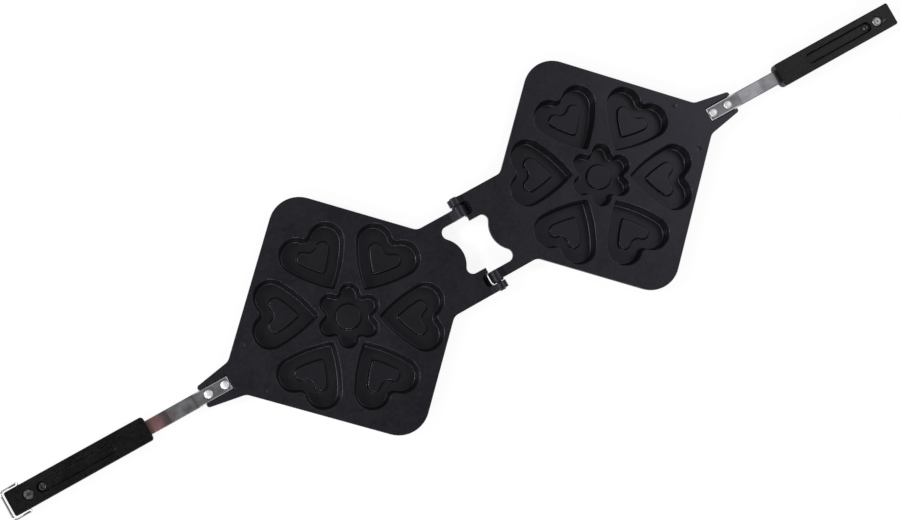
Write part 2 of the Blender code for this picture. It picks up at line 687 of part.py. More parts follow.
def grip_mesh(with_bail):
    """Moulded grip with its recess, the slot for the tang and the holes for what holds it."""
    blank = body([grip_section(x) for x in grip_stations()])
    tang_half = STRAP_WIDTH / 2 + ASSEMBLY_GAP
    tang_end = TANG_END + ASSEMBLY_GAP
    slot_outline = [(GRIP_START - CUT_OVERRUN, -tang_half), (tang_end, -tang_half),
                    (tang_end, tang_half), (GRIP_START - CUT_OVERRUN, tang_half)]
    slot = prism(slot_outline, TANG_TOP - STRAP_THICKNESS - ASSEMBLY_GAP, TANG_TOP + ASSEMBLY_GAP)
    groove = prism(groove_outline(), GROOVE_FLOOR, GRIP_TOP + CUT_OVERRUN)
    recess = SCREW_HEAD_RADIUS + ASSEMBLY_GAP
    recess_floor = GRIP_TOP - SCREW_RECESS_DEPTH
    hole = SCREW_RADIUS + ASSEMBLY_GAP
    low = grip_low(SCREW_REACH) - CUT_OVERRUN
    top = GRIP_TOP + CUT_OVERRUN
    nut_roof = grip_low(SCREW_REACH) + NUT_POCKET_DEPTH
    pocket = moved(hexagon(NUT_ACROSS_FLATS + 2 * ASSEMBLY_GAP), SCREW_REACH)
    cutters = [slot, groove,
               upright_turned(SCREW_REACH, 0, [(recess, recess_floor), (recess, top)], HEAD_STEPS),
               upright_turned(SCREW_REACH, 0, [(hole, low), (hole, GRIP_TOP)], HOLE_STEPS),
               prism(pocket, low, nut_roof)]
    eyelet_hole = EYELET_RADIUS + ASSEMBLY_GAP
    cutters.append(upright_turned(EYELET_REACH, 0, [(eyelet_hole, low), (eyelet_hole, top)], HOLE_STEPS))
    if with_bail:
        cutters += bail_holes()
    return cut(blank, *cutters)


def bail_holes():
    """Blind holes in both sides of the grip for the bail's feet."""
    hole = BAIL_WIRE_RADIUS + ASSEMBLY_GAP
    outer = GRIP_WIDTH / 2 + CUT_OVERRUN
    inner = BAIL_HALF_SPAN - BAIL_FOOT_RADIUS - BAIL_FOOT_LENGTH - ASSEMBLY_GAP
    profile = [(hole, inner), (hole, outer)]
    mirrored_profile = [(hole, -outer), (hole, -inner)]
    return [level_turned(BAIL_PIVOT_REACH, BAIL_HEIGHT, profile, HOLE_STEPS),
            level_turned(BAIL_PIVOT_REACH, BAIL_HEIGHT, mirrored_profile, HOLE_STEPS)]


def screw_mesh():
    """Pan-head screw with a slot, down through the grip and the tang into the nut."""
    seat = GRIP_TOP - SCREW_RECESS_DEPTH + ASSEMBLY_GAP
    crown = seat + SCREW_HEAD_HEIGHT
    tip = grip_low(SCREW_REACH) + ASSEMBLY_GAP
    profile = [(SCREW_RADIUS, tip), (SCREW_RADIUS, seat)]
    profile += dome(SCREW_HEAD_RADIUS, SCREW_HEAD_RADIUS - SCREW_SLOT_DEPTH, seat, SCREW_HEAD_HEIGHT)
    blank = upright_turned(SCREW_REACH, 0, profile, HEAD_STEPS)
    length, width = SCREW_HEAD_RADIUS + ASSEMBLY_GAP, SCREW_SLOT_WIDTH / 2
    bar = moved([(-length, -width), (length, -width), (length, width), (-length, width)], SCREW_REACH)
    return cut(blank, prism(bar, crown - SCREW_SLOT_DEPTH, crown + CUT_OVERRUN))


def nut_mesh():
    """Hexagon nut in its pocket in the grip's outer side."""
    roof = grip_low(SCREW_REACH) + NUT_POCKET_DEPTH - ASSEMBLY_GAP
    outline = moved(hexagon(NUT_ACROSS_FLATS), SCREW_REACH)
    bore = SCREW_RADIUS + ASSEMBLY_GAP
    low = roof - NUT_THICKNESS
    profile = [(bore, low - CUT_OVERRUN), (bore, roof + CUT_OVERRUN)]
    return cut(prism(outline, low, roof), upright_turned(SCREW_REACH, 0, profile, HOLE_STEPS))


def eyelet_mesh():
    """Tubular rivet with a rolled rim in the groove and another on the grip's outer side."""
    seat = GROOVE_FLOOR + ASSEMBLY_GAP
    heel = grip_low(EYELET_REACH) - ASSEMBLY_GAP
    low = heel - EYELET_RIM_HEIGHT
    crown = seat + EYELET_RIM_HEIGHT
    profile = [(EYELET_RADIUS, low), (EYELET_RIM_RADIUS, (low + heel) / 2), (EYELET_RIM_RADIUS, heel),
               (EYELET_RADIUS, heel), (EYELET_RADIUS, seat), (EYELET_RIM_RADIUS, seat),
               (EYELET_RIM_RADIUS, (seat + crown) / 2), (EYELET_RADIUS, crown)]
    bore = [(EYELET_BORE_RADIUS, low - CUT_OVERRUN), (EYELET_BORE_RADIUS, crown + CUT_OVERRUN)]
    tube = upright_turned(EYELET_REACH, 0, profile, HOLE_STEPS)
    return cut(tube, upright_turned(EYELET_REACH, 0, bore, WIRE_STEPS))


# The wire bail

def bail_path():
    """Middle line of the wire in the bail's own frame: x along its legs, y along its pivots."""
    foot = BAIL_HALF_SPAN - BAIL_FOOT_RADIUS - BAIL_FOOT_LENGTH
    return rounded([
        (0, -foot, 0, 0),
        (0, -BAIL_HALF_SPAN, BAIL_FOOT_RADIUS, FILLET_STEPS),
        (BAIL_LENGTH, -BAIL_HALF_SPAN, BAIL_CORNER_RADIUS, FILLET_STEPS),
        (BAIL_LENGTH, BAIL_HALF_SPAN, BAIL_CORNER_RADIUS, FILLET_STEPS),
        (0, BAIL_HALF_SPAN, BAIL_FOOT_RADIUS, FILLET_STEPS),
        (0, foot, 0, 0),
    ])


def bail_mesh():
    """Round wire along the bail's path, with square-cut ends in the grip."""
    points = [Vector((x, y, 0)) for x, y in bail_path()]
    up = Vector((0, 0, 1))
    rings = []
    for index, point in enumerate(points):
        ahead = points[min(index + 1, len(points) - 1)]
        behind = points[max(index - 1, 0)]
        aside = up.cross(ahead - behind).normalized()
        section = circle(BAIL_WIRE_RADIUS, WIRE_STEPS)
        rings.append([tuple(point + aside * px + up * py) for px, py in section])
    return body(rings)


# Materials

def material(name, colour, roughness, metallic):
    """A Principled material."""
    finish = bpy.data.materials.new(name)
    finish.use_nodes = True
    shader = finish.node_tree.nodes["Principled BSDF"]
    shader.inputs["Base Color"].default_value = (*colour, 1)
    shader.inputs["Roughness"].default_value = roughness
    shader.inputs["Metallic"].default_value = metallic
    return finish


def nonstick_material():
    """Black non-stick coating on the castings."""
    return material("nonstick_coating", (0.016, 0.016, 0.019), 0.45, 0.0)


def blackened_material():
    """Dark steel of the hinge pins."""
    return material("blackened_steel", (0.05, 0.05, 0.055), 0.4, 0.8)


def strap_material():
    """Bare steel strap."""
    return material("strap_steel", (0.55, 0.54, 0.53), 0.35, 1.0)


def rivet_material():
    """Bright aluminium rivets."""
    return material("rivet_aluminium", (0.90, 0.90, 0.91), 0.3, 1.0)


def grip_material():
    """Black bakelite."""
    return material("bakelite", (0.012, 0.012, 0.013), 0.5, 0.0)


def plated_material():
    """Zinc-plated screws, nuts and eyelets."""
    return material("plated_steel", (0.70, 0.70, 0.72), 0.3, 1.0)


def wire_material():
    """Chromed wire."""
    return material("bail_wire", (0.80, 0.80, 0.82), 0.2, 1.0)


# Assembly

def add(name, data, finish, parent):
    """A named object under its half's empty."""
    data.materials.clear()
    data.materials.append(finish)
    piece = bpy.data.objects.new(name, data)
    bpy.context.collection.objects.link(piece)
    piece.parent = parent
    return piece


def half_frame(name, turn):
    """An empty on the hinge axis that carries one half."""
    frame = bpy.data.objects.new(name, None)
    bpy.context.collection.objects.link(frame)
    frame.location = (HINGE_X, 0, HINGE_HEIGHT)
    frame.rotation_euler = (0, 0, turn)
    return frame


def build():
    """Makes every piece once and places it in each half."""
    for old in list(bpy.data.objects):
        bpy.data.objects.remove(old)
    halves = {"left": half_frame("left_half", math.pi), "right": half_frame("right_half", 0)}
    shared = [
        ("waffle_plate", plate_mesh(), nonstick_material()),
        ("hinge_pin", pin_mesh(), blackened_material()),
        ("handle_strap", strap_mesh(), strap_material()),
        ("strap_rivet_inner", rivet_mesh(RIVET_OFFSETS[0]), rivet_material()),
        ("strap_rivet_outer", rivet_mesh(RIVET_OFFSETS[1]), rivet_material()),
        ("grip_screw", screw_mesh(), plated_material()),
        ("grip_nut", nut_mesh(), plated_material()),
        ("tang_eyelet", eyelet_mesh(), plated_material()),
    ]
    lower = Matrix.Translation((0, 0, -HINGE_HEIGHT))
    for name, mesh, finish in shared:
        mesh.transform(lower)
        smooth(mesh)
        for side, frame in halves.items():
            add(f"{name}_{side}", mesh, finish, frame)
    bakelite = grip_material()
    for side, frame in halves.items():
        mesh = grip_mesh(side == "left")
        mesh.transform(lower)
        add(f"grip_{side}", smooth(mesh), bakelite, frame)
    bail = add("locking_bail", smooth(bail_mesh()), wire_material(), halves["left"])
    bail.location = (BAIL_PIVOT_REACH, 0, BAIL_HEIGHT - HINGE_HEIGHT)
    bail.rotation_euler = (0, math.atan2(BAIL_FALL, BAIL_REACH), 0)


build()
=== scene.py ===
"""A heart waffle iron lying open on a white table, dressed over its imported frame.

Lengths are written in millimetres and multiplied by MM. Each half is worked out in its own half
frame: x runs from the hinge axis out to the grip's end, y runs along the hinge axis, z runs up
from the table. The right half lies that way round, and the left half is turned half a turn.
"""
import math

import bpy
import numpy as np
from mathutils import Matrix


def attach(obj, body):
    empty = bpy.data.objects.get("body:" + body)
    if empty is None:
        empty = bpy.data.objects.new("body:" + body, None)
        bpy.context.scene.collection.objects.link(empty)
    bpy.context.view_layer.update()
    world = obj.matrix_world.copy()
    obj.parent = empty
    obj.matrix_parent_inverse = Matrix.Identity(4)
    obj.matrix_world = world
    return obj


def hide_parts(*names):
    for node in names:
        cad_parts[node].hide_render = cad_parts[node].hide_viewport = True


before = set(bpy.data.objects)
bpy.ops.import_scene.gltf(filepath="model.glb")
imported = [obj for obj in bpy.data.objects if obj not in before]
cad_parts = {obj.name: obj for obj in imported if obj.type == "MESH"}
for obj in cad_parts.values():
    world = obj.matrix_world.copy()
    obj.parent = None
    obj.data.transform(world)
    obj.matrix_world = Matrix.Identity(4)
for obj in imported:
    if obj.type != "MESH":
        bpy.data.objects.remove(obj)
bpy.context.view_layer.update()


# The two castings. One die casting in aluminium, used twice: a square plate stood on its corner,
# with six drafted heart cavities round a flower, two hinge arms at one corner and a horned socket
# at the other. Black non-stick coating is sprayed over all of it and softens every edge.

MM = 0.001
# The hinge axis lies along y through this place, 0.2 above the castings' flat face
HINGE = np.array([2.4, 0.0, 14.7]) * MM
FACE = 14.5 * MM
SIDES = ("left", "right")


def millimetres(*places):
    """Places written in millimetres, as tuples in metres."""
    return [tuple(length * MM for length in place) for place in places]


def round_bend(centre, radius, start, end, count, last=False):
    """Points round a circle from angle start to angle end, with the end itself only if last."""
    angle = np.linspace(start, end, count, endpoint=last)
    return np.column_stack([centre[0] + radius * np.cos(angle), centre[1] + radius * np.sin(angle)])


def cast_line(corners, inset=0.0, fineness=math.radians(7)):
    """A closed outline through corners of (x, y, radius), moved inwards by inset.

    Each edge shifts along its inward normal by inset. A corner moves to where its shifted edges
    meet, and its arc's radius falls by inset on an outer corner and grows by it on an inner one.
    An open line has radius 0 at both ends and no inset.
    """
    points = np.array([corner[:2] for corner in corners])
    radii = np.array([corner[2] for corner in corners])
    edge = np.roll(points, -1, axis=0) - points
    edge /= np.linalg.norm(edge, axis=1, keepdims=True)
    if inset:
        normal = np.column_stack([-edge[:, 1], edge[:, 0]])
        before = np.roll(normal, 1, axis=0)
        points = points + inset * (before + normal) / (1 + np.sum(before * normal, axis=1, keepdims=True))
    arriving = np.roll(edge, 1, axis=0)
    crossed = arriving[:, 0] * edge[:, 1] - arriving[:, 1] * edge[:, 0]
    turn = np.arctan2(crossed, np.sum(arriving * edge, axis=1))
    runs = []
    for point, radius, bend, near, far in zip(points, radii, turn, arriving, edge):
        if not radius:
            runs.append(point[None])
            continue
        side = math.copysign(1, bend)
        radius = max(radius - side * inset, 0.01 * MM)
        reach = radius * math.tan(abs(bend) / 2)
        centre = point - near * reach + side * radius * np.array([-near[1], near[0]])
        start = math.atan2(near[1], near[0]) - side * math.pi / 2
        steps = max(2, math.ceil(abs(bend) / fineness) + 1)
        runs.append(round_bend(centre, radius, start, start + bend, steps, last=True))
    return np.vstack(runs)


def heart_line(inset, lobe, cleft, flank, tip):
    """A heart with its tip down, moved inwards by inset, from arcs that run into each other.

    lobe is (spread, reach, radius), cleft and flank are radii and tip is (reach, radius). The
    lobe's circle and the tip's circle touch the flank's circle from inside, which fixes the
    flank's centre. With inset, outer radii fall and the cleft's grows about the same centres.
    Where the tip's radius would vanish, a small circle stays and climbs until it touches both
    flanks.
    """
    spread, reach, lobe_radius = lobe
    tip_reach, tip_radius = tip
    lobe_centre = np.array([spread, reach])
    across = np.array([0.0, tip_reach]) - lobe_centre
    span = np.hypot(*across)
    to_lobe, to_tip = flank - lobe_radius, flank - tip_radius
    foot = (to_lobe ** 2 - to_tip ** 2 + span ** 2) / (2 * span)
    aside = math.sqrt(to_lobe ** 2 - foot ** 2)
    unit = across / span
    flank_centre = lobe_centre + unit * foot + np.array([unit[1], -unit[0]]) * aside
    small = max(tip_radius - inset, 0.25 * MM)
    climb = math.sqrt((flank - inset - small) ** 2 - flank_centre[0] ** 2)
    tip_centre = np.array([0.0, flank_centre[1] - climb])
    cleft_centre = np.array([0.0, reach + math.sqrt((lobe_radius + cleft) ** 2 - spread ** 2)])
    low = np.arctan2(*(tip_centre - flank_centre)[::-1])
    high = np.arctan2(*(lobe_centre - flank_centre)[::-1])
    rise = np.arctan2(*(cleft_centre - lobe_centre)[::-1])
    right = np.vstack([
        round_bend(tip_centre, small, -math.pi / 2, low, 6),
        round_bend(flank_centre, flank - inset, low, high, 14),
        round_bend(lobe_centre, lobe_radius - inset, high, rise, 40),
        round_bend(cleft_centre, cleft + inset, rise - math.pi, -math.pi / 2, 9, last=True),
    ])
    return np.vstack([right, right[-2:0:-1] * [-1, 1]])


def cavity_heart(inset):
    """Rim of a heart cavity, measured on the flat face."""
    lobe, tip = millimetres((12.92, 60.56, 14.91), (25.88, 2.58))
    return heart_line(inset, lobe, 3.4 * MM, 107.7 * MM, tip)


def raised_heart(inset):
    """Edge of the heart that stands in the cavity's floor, with nearly straight flanks."""
    lobe, tip = millimetres((8.7, 57.0, 4.6), (41.4, 1.5))
    return heart_line(inset, lobe, 7.2 * MM, 90 * MM, tip)


def cavity_flower(inset):
    """Six round petals with a small hollow arc between each pair, moved inwards by inset."""
    reach, petal = 17.6 * MM, 8.7 * MM - inset
    cusp = max(2.0 * MM + inset, 0.15 * MM)
    cusp_reach = reach * math.cos(math.pi / 6) + math.sqrt((petal + cusp) ** 2 - (reach / 2) ** 2)
    lean = math.atan2(cusp_reach / 2, cusp_reach * math.cos(math.pi / 6) - reach)
    valley = math.pi - 2 * (lean - math.pi / 6)
    runs = []
    for number in range(6):
        middle = number * math.pi / 3
        gap = middle + math.pi / 6
        petal_centre = reach * np.array([math.cos(middle), math.sin(middle)])
        cusp_centre = cusp_reach * np.array([math.cos(gap), math.sin(gap)])
        runs.append(round_bend(petal_centre, petal, middle - lean, middle + lean, 20))
        opening = gap + math.pi + valley / 2
        runs.append(round_bend(cusp_centre, cusp, opening, opening - valley, 8))
    return np.vstack(runs)


def raised_disc(inset):
    """A circle with a point on each ray from the middle through a point of the flower."""
    rim = cavity_flower(0.0)
    return rim / np.linalg.norm(rim, axis=1, keepdims=True) * (9.6 * MM - inset)


def stacked(outline, profile, turn=0.0, middle=0.0):
    """Rings of points: outline(inset) at each height of a profile of (inset, z), turned about its
    own middle and moved along x to its place."""
    c, s = math.cos(turn), math.sin(turn)
    rings = []
    for inset, z in profile:
        flat = outline(inset) @ np.array([[c, s], [-s, c]])
        rings.append(np.column_stack([flat[:, 0] + middle, flat[:, 1], np.full(len(flat), z)]))
    return np.stack(rings)


def closed_shell(name, rings):
    """A closed mesh over a grid of points: quads join each ring to the next one, the first and
    last rings are filled flat, and the faces are turned outwards by the sign of the volume."""
    count, around = rings.shape[:2]
    grid = np.arange(count * around).reshape(count, around)
    ahead = np.roll(grid, -1, axis=1)
    quads = np.stack([grid[:-1], ahead[:-1], ahead[1:], grid[1:]], axis=-1).reshape(-1, 4)
    caps = [grid[0, ::-1].tolist(), grid[-1].tolist()]
    points = rings.reshape(-1, 3)
    mesh = bpy.data.meshes.new(name)
    mesh.from_pydata(points.tolist(), [], quads.tolist() + caps)
    middle = points.mean(axis=0)
    corners = points[quads] - middle
    volume = np.einsum("ij,ij->i", corners[:, 0], np.cross(corners[:, 1], corners[:, 2])).sum()
    volume += np.einsum("ij,ij->i", corners[:, 0], np.cross(corners[:, 2], corners[:, 3])).sum()
    for ring, sign in ((rings[0], -1), (rings[-1], 1)):
        ring = ring - middle
        volume += sign * np.einsum("ij,ij->i", np.broadcast_to(ring[0], ring.shape),
                                   np.cross(ring, np.roll(ring, -1, axis=0))).sum()
    if volume < 0:
        mesh.flip_normals()
    return mesh


def machined(name, blank, joined=(), cut=()):
    """The blank with some shells joined to it and others cut away, as one closed mesh."""
    work = bpy.data.objects.new(name, blank)
    bpy.context.collection.objects.link(work)
    helpers = []
    for operation, shells in (('UNION', joined), ('DIFFERENCE', cut)):
        for shell in shells:
            helper = bpy.data.objects.new("tool", shell)
            bpy.context.collection.objects.link(helper)
            helpers.append(helper)
            step = work.modifiers.new(operation.lower(), 'BOOLEAN')
            step.operation = operation
            step.solver = 'MANIFOLD'
            step.object = helper
    graph = bpy.context.evaluated_depsgraph_get()
    mesh = bpy.data.meshes.new_from_object(work.evaluated_get(graph))
    for helper in [work] + helpers:
        bpy.data.objects.remove(helper)
    mesh.name = name
    return mesh


def sideways(profile, stations):
    """Rings of an (x, z) outline carried along y, from (inset, y) pairs."""
    rings = []
    for inset, y in stations:
        line = cast_line(profile, inset)
        rings.append(np.column_stack([line[:, 0], np.full(len(line), y), line[:, 1] + HINGE[2]]))
    return np.stack(rings)


def lathed(profile, around, middle, upright=True):
    """Rings of a turned shape from (radius, distance along its axis) pairs. The axis stands at
    middle (x, y), or lies along y at middle (x, z)."""
    angle = np.linspace(0, 2 * math.pi, around, endpoint=False)
    radius, along = np.array(profile).T
    first = middle[0] + radius[:, None] * np.cos(angle)
    second = middle[1] + radius[:, None] * np.sin(angle)
    third = np.broadcast_to(along[:, None], first.shape)
    return np.stack([first, second, third] if upright else [first, third, second], axis=-1)


def quarter(start, end, count, hollow=False):
    """Points of a quarter ellipse between two (a, b) points: it leaves start along a and reaches
    end along b, or the other way round if hollow."""
    angle = np.linspace(0, math.pi / 2, count)
    rise, run = np.sin(angle), 1 - np.cos(angle)
    share = np.column_stack([run, rise]) if hollow else np.column_stack([rise, run])
    return [tuple(point) for point in np.array(start) + share * (np.array(end) - np.array(start))]


# Outline of the flange with its arms and horns, as (x, y, corner radius) in millimetres. The plate's
# side is 160, so its outer corners lie 113.137 from its middle. The last five corners bound the
# window between the arms, and the one of radius 21 is the swell in its edge.
PLATE_CORNERS = millimetres(
    (4.5, -33.0, 0), (36.76, -33.0, 8), (116.9, -113.137, 24), (215.44, -14.6, 8), (245.54, -9.2, 2.2),
    (245.54, 9.2, 2.2), (215.44, 14.6, 8), (116.9, 113.137, 24), (44.56, 40.8, 8), (3.7, 40.8, 0),
    (3.7, 19.4, 0), (21.7, 19.4, 5), (7.4, -2.85, 21), (29.1, -24.3, 5.5), (4.5, -24.3, 0))


# Both sides of the slim arm and of the wide arm's ear, along the hinge axis
SLIM_ARM = (-33.0 * MM, -24.3 * MM)
EAR = (34.8 * MM, 40.8 * MM)


def knuckle_corners():
    """Side view of a slim arm or an ear about the hinge axis: a round knuckle whose arc runs
    between the tangents from the ramp's foot on the face and from the heel below."""
    radius, ramp, heel = 5.25 * MM, 8.5 * MM, 4.5 * MM
    face, low, inside = -0.2 * MM, -8.2 * MM, -1.95 * MM
    corners = [(ramp, face, 0)]
    for x, z, side in ((ramp, face, 1), (heel, low, -1)):
        touch = math.atan2(z, x) + side * math.acos(radius / math.hypot(x, z))
        corners.append((-radius, radius * (1 + math.cos(touch)) / math.sin(touch), radius))
    corners += [(heel, low, 0.8 * MM), (36 * MM, low, 6 * MM), (46 * MM, inside, 0), (ramp, inside, 0)]
    return corners


PLATE_MIDDLE = 116.9 * MM
FLANGE = 3.5 * MM
FLOOR = FACE - 11.6 * MM
DRAFT = math.radians(8.9)


def cavity_profile():
    """Inside of a cavity from the face down to its floor: lip of radius 0.9, wall that leans by
    the draft, and fillet of radius 1.2."""
    lip, fillet = 0.9 * MM, 1.2 * MM
    angle = np.linspace(0, math.pi / 2 - DRAFT, 6)
    rim = [(lip * math.sin(a), FACE - lip * (1 - math.cos(a))) for a in angle]
    run = (rim[-1][1] - FLOOR - fillet * (1 - math.sin(DRAFT))) * math.tan(DRAFT)
    base = rim[-1][0] + run + fillet * math.cos(DRAFT)
    angle = np.linspace(DRAFT, math.pi / 2, 6)
    root = [(base - fillet * math.cos(a), FLOOR + fillet * (1 - math.sin(a))) for a in angle]
    return [(0.0, FACE + 3 * MM)] + rim + root


def cavity_shell(outline, island, turn):
    """The space of one cavity: down its wall, across the floor, and up the island's foot, side and
    rounded edge to its top, which stands 2.6 above the floor."""
    walls = stacked(outline, cavity_profile(), turn, PLATE_MIDDLE)
    top = FLOOR + 2.6 * MM
    rise = quarter((-1.3 * MM, FLOOR), (-0.7 * MM, FLOOR + 0.6 * MM), 4)
    rise += quarter((-0.5 * MM, top - 1.0 * MM), (0.5 * MM, top), 6, hollow=True)
    return closed_shell("cavity", np.concatenate([walls, stacked(island, rise, turn, PLATE_MIDDLE)]))


def bulge_shell(outline, turn):
    """The outside of one cavity under the plate, 3 outside its inner wall, with a rounded foot and
    a fillet where it meets the plate."""
    wall, deep, edge, fillet = -1.7 * MM, FACE - FLANGE, 1.3 * MM, 1.2 * MM
    foot, spread = wall + (deep - fillet) * math.tan(DRAFT), wall - 0.7 * MM
    profile = quarter((foot + edge, 0.0), (foot, edge), 5)
    profile += quarter((wall + 0.2 * MM, deep - fillet), (spread, deep), 5, hollow=True)[:-1]
    profile += [(spread, deep), (spread, deep + 1.5 * MM)]
    return closed_shell("bulge", stacked(outline, profile, turn, PLATE_MIDDLE))


def hinge_shells():
    """The shells joined and the shells cut at the hinge. Joined: the slim arm, the ear, a hub on the
    slim arm's outer side and the wide arm's block. Cut: a pocket for the other half's slim arm,
    the wide arm's slanting heel, and the pin's two bores."""
    joined, cut = [], []
    edge = 0.4 * MM
    for near, far in (SLIM_ARM, EAR):
        ends = quarter((edge, near), (0.0, near + edge), 4)
        ends += quarter((0.0, far - edge), (edge, far), 4, hollow=True)
        joined.append(closed_shell("arm", sideways(knuckle_corners(), ends)))
    hub = millimetres((4.2, -34.4), (4.6, -34.0), (4.6, -32.0))
    joined.append(closed_shell("hub", lathed(hub, 64, (0.0, HINGE[2]), upright=False)))
    block = millimetres((3.7, -1.95, 0), (3.7, -8.2, 0.8), (36, -8.2, 6), (46, -1.95, 0))
    ends = quarter((edge, 19.4 * MM), (0.0, 19.8 * MM), 4) + [(0.0, 37.8 * MM)]
    joined.append(closed_shell("block", sideways(block, ends)))
    pocket = millimetres((-9.0, -14.0, 0), (4.7, -14.0, 0), (4.7, -7.4, 0.3), (10.3, -7.4, 3.5),
                         (10.3, 8.0, 0), (-9.0, 8.0, 0))
    ends = quarter((3.0 * MM, 23.9 * MM), (0.0, 26.9 * MM), 7)
    ends += quarter((0.0, EAR[0] - 3.0 * MM), (3.0 * MM, EAR[0]), 7, hollow=True)
    cut.append(closed_shell("pocket", sideways(pocket, ends)))
    heel = millimetres((1.0, -14.0, 0), (6.9, -14.0, 0), (3.7, -2.6, 0), (1.0, -2.6, 0))
    cut.append(closed_shell("heel", sideways(heel, [(0.0, 15 * MM), (0.0, 23.4 * MM)])))
    for near, far in millimetres((31.8, 43.8), (-36.0, -25.5)):
        bore = lathed([(2.3 * MM, near), (2.3 * MM, far)], 32, (0.0, HINGE[2]), upright=False)
        cut.append(closed_shell("bore", bore))
    return joined, cut


def oblong(start, end, width, radius=0.0):
    """Corners of an oblong along x, all with one radius."""
    half = width / 2
    return [(start, -half, radius), (end, -half, radius), (end, half, radius), (start, half, radius)]


RIVET_REACHES = {"inner": 226.04 * MM, "outer": 240.24 * MM}


def socket_shells():
    """The shells joined and the shells cut at the socket: a block under the horns, the strap's
    channel with a rounded lip, and the rivets' holes."""
    horn = millimetres((206.4, -15.8, 3), (245.1, -8.8, 2.2), (245.1, 8.8, 2.2), (206.4, 15.8, 3))
    edge = quarter((1.8 * MM, 5.5 * MM), (0.8 * MM, 6.5 * MM), 5) + [(0.0, 12.7 * MM)]
    block = closed_shell("socket", stacked(lambda inset: cast_line(horn, inset), edge))
    channel = oblong(221.2 * MM, 248.5 * MM, 12.3 * MM, 0.5 * MM)
    trough = millimetres((0.3, 10.2), (0.0, 10.5))
    trough += quarter((0.0, FACE - 0.4 * MM), (-0.4 * MM, FACE), 4, hollow=True)
    trough.append((-0.4 * MM, FACE + 3 * MM))
    cut = [closed_shell("channel", stacked(lambda inset: cast_line(channel, inset), trough))]
    for reach in RIVET_REACHES.values():
        hole = millimetres((2.3, 2.0), (2.3, 12.0))
        cut.append(closed_shell("hole", lathed(hole, 24, (reach, 0.0))))
    return [block], cut


def locator_shells():
    """A low bump on one side of the socket and a dimple on the other, which meet when the pan is
    shut. Their height falls from the middle to the edge as half a cosine wave."""
    wide, reach, aside = 2.5 * MM, 199.54 * MM, 20 * MM
    radius = np.linspace(wide, 0.1 * MM, 12)
    wave = 0.5 + 0.5 * np.cos(math.pi * radius / wide)
    bump = [(wide, FACE - 1 * MM)] + list(zip(radius, FACE - 0.02 * MM + 0.3 * MM * wave))
    dimple = [(wide, FACE + 1 * MM)] + list(zip(radius, FACE + 0.02 * MM - 0.4 * MM * wave))
    return ([closed_shell("bump", lathed(bump, 32, (reach, aside)))],
            [closed_shell("dimple", lathed(dimple, 32, (reach, -aside)))])


def casting_mesh():
    """One whole casting in its half frame."""
    low = FACE - FLANGE
    rim = quarter((0.7 * MM, low), (0.0, low + 0.7 * MM), 4)
    rim += quarter((0.0, FACE - 0.5 * MM), (0.5 * MM, FACE), 5, hollow=True)
    blank = closed_shell("flange", stacked(lambda inset: cast_line(PLATE_CORNERS, inset), rim))
    turns = [math.radians(60 * number - 60) for number in range(6)]
    joined = [bulge_shell(cavity_heart, turn) for turn in turns] + [bulge_shell(cavity_flower, 0.0)]
    cut = [cavity_shell(cavity_heart, raised_heart, turn) for turn in turns]
    cut.append(cavity_shell(cavity_flower, raised_disc, 0.0))
    for more_joined, more_cut in (hinge_shells(), socket_shells(), locator_shells()):
        joined += more_joined
        cut += more_cut
    return machined("casting", blank, joined, cut)


def in_place(name, mesh, side, nodes, finish):
    """One copy of a mesh of the half frame, put in its half: the right half moves by the hinge's
    place, and the left one also turns half a turn. It rides on its half and stands for its nodes."""
    mesh = mesh.copy()
    turn = Matrix.Rotation(math.pi if side == "left" else 0.0, 4, 'Z')
    mesh.transform(Matrix.Translation((HINGE[0], 0, 0)) @ turn)
    mesh.shade_smooth()
    mesh.set_sharp_from_angle(angle=math.radians(35))
    mesh.materials.clear()
    mesh.materials.append(finish)
    mesh.name = name
    piece = bpy.data.objects.new(name, mesh)
    bpy.context.collection.objects.link(piece)
    weighted = piece.modifiers.new("even_shading", 'WEIGHTED_NORMAL')
    weighted.keep_sharp = True
    weighted.weight = 70
    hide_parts(*nodes)
    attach(piece, f"{side}_half")
    return piece


class Strand:
    """One output of a shader node. Arithmetic on strands and numbers adds Math nodes."""

    def __init__(self, tree, socket):
        self.tree = tree
        self.socket = socket

    def maths(self, operation, *values):
        """A Math node of that operation on the values."""
        node = self.tree.nodes.new('ShaderNodeMath')
        node.operation = operation
        for socket, value in zip(node.inputs, values):
            if isinstance(value, Strand):
                self.tree.links.new(value.socket, socket)
            else:
                socket.default_value = value
        return Strand(self.tree, node.outputs[0])

    def __add__(self, other):
        return self.maths('ADD', self, other)

    def __radd__(self, other):
        return self.maths('ADD', other, self)

    def __sub__(self, other):
        return self.maths('SUBTRACT', self, other)

    def __rsub__(self, other):
        return self.maths('SUBTRACT', other, self)

    def __mul__(self, other):
        return self.maths('MULTIPLY', self, other)

    def __rmul__(self, other):
        return self.maths('MULTIPLY', other, self)

    def __truediv__(self, other):
        return self.maths('DIVIDE', self, other)

    def __rtruediv__(self, other):
        return self.maths('DIVIDE', other, self)

    def __gt__(self, other):
        return self.maths('GREATER_THAN', self, other)

    def __lt__(self, other):
        return self.maths('LESS_THAN', self, other)

    def between(self, low, high):
        """0 below low, 1 above high, and a straight rise from one to the other."""
        share = (self - low) / (high - low)
        return share.maths('MINIMUM', share.maths('MAXIMUM', share, 0.0), 1.0)

    def size(self):
        """The value without its sign."""
        return self.maths('ABSOLUTE', self)


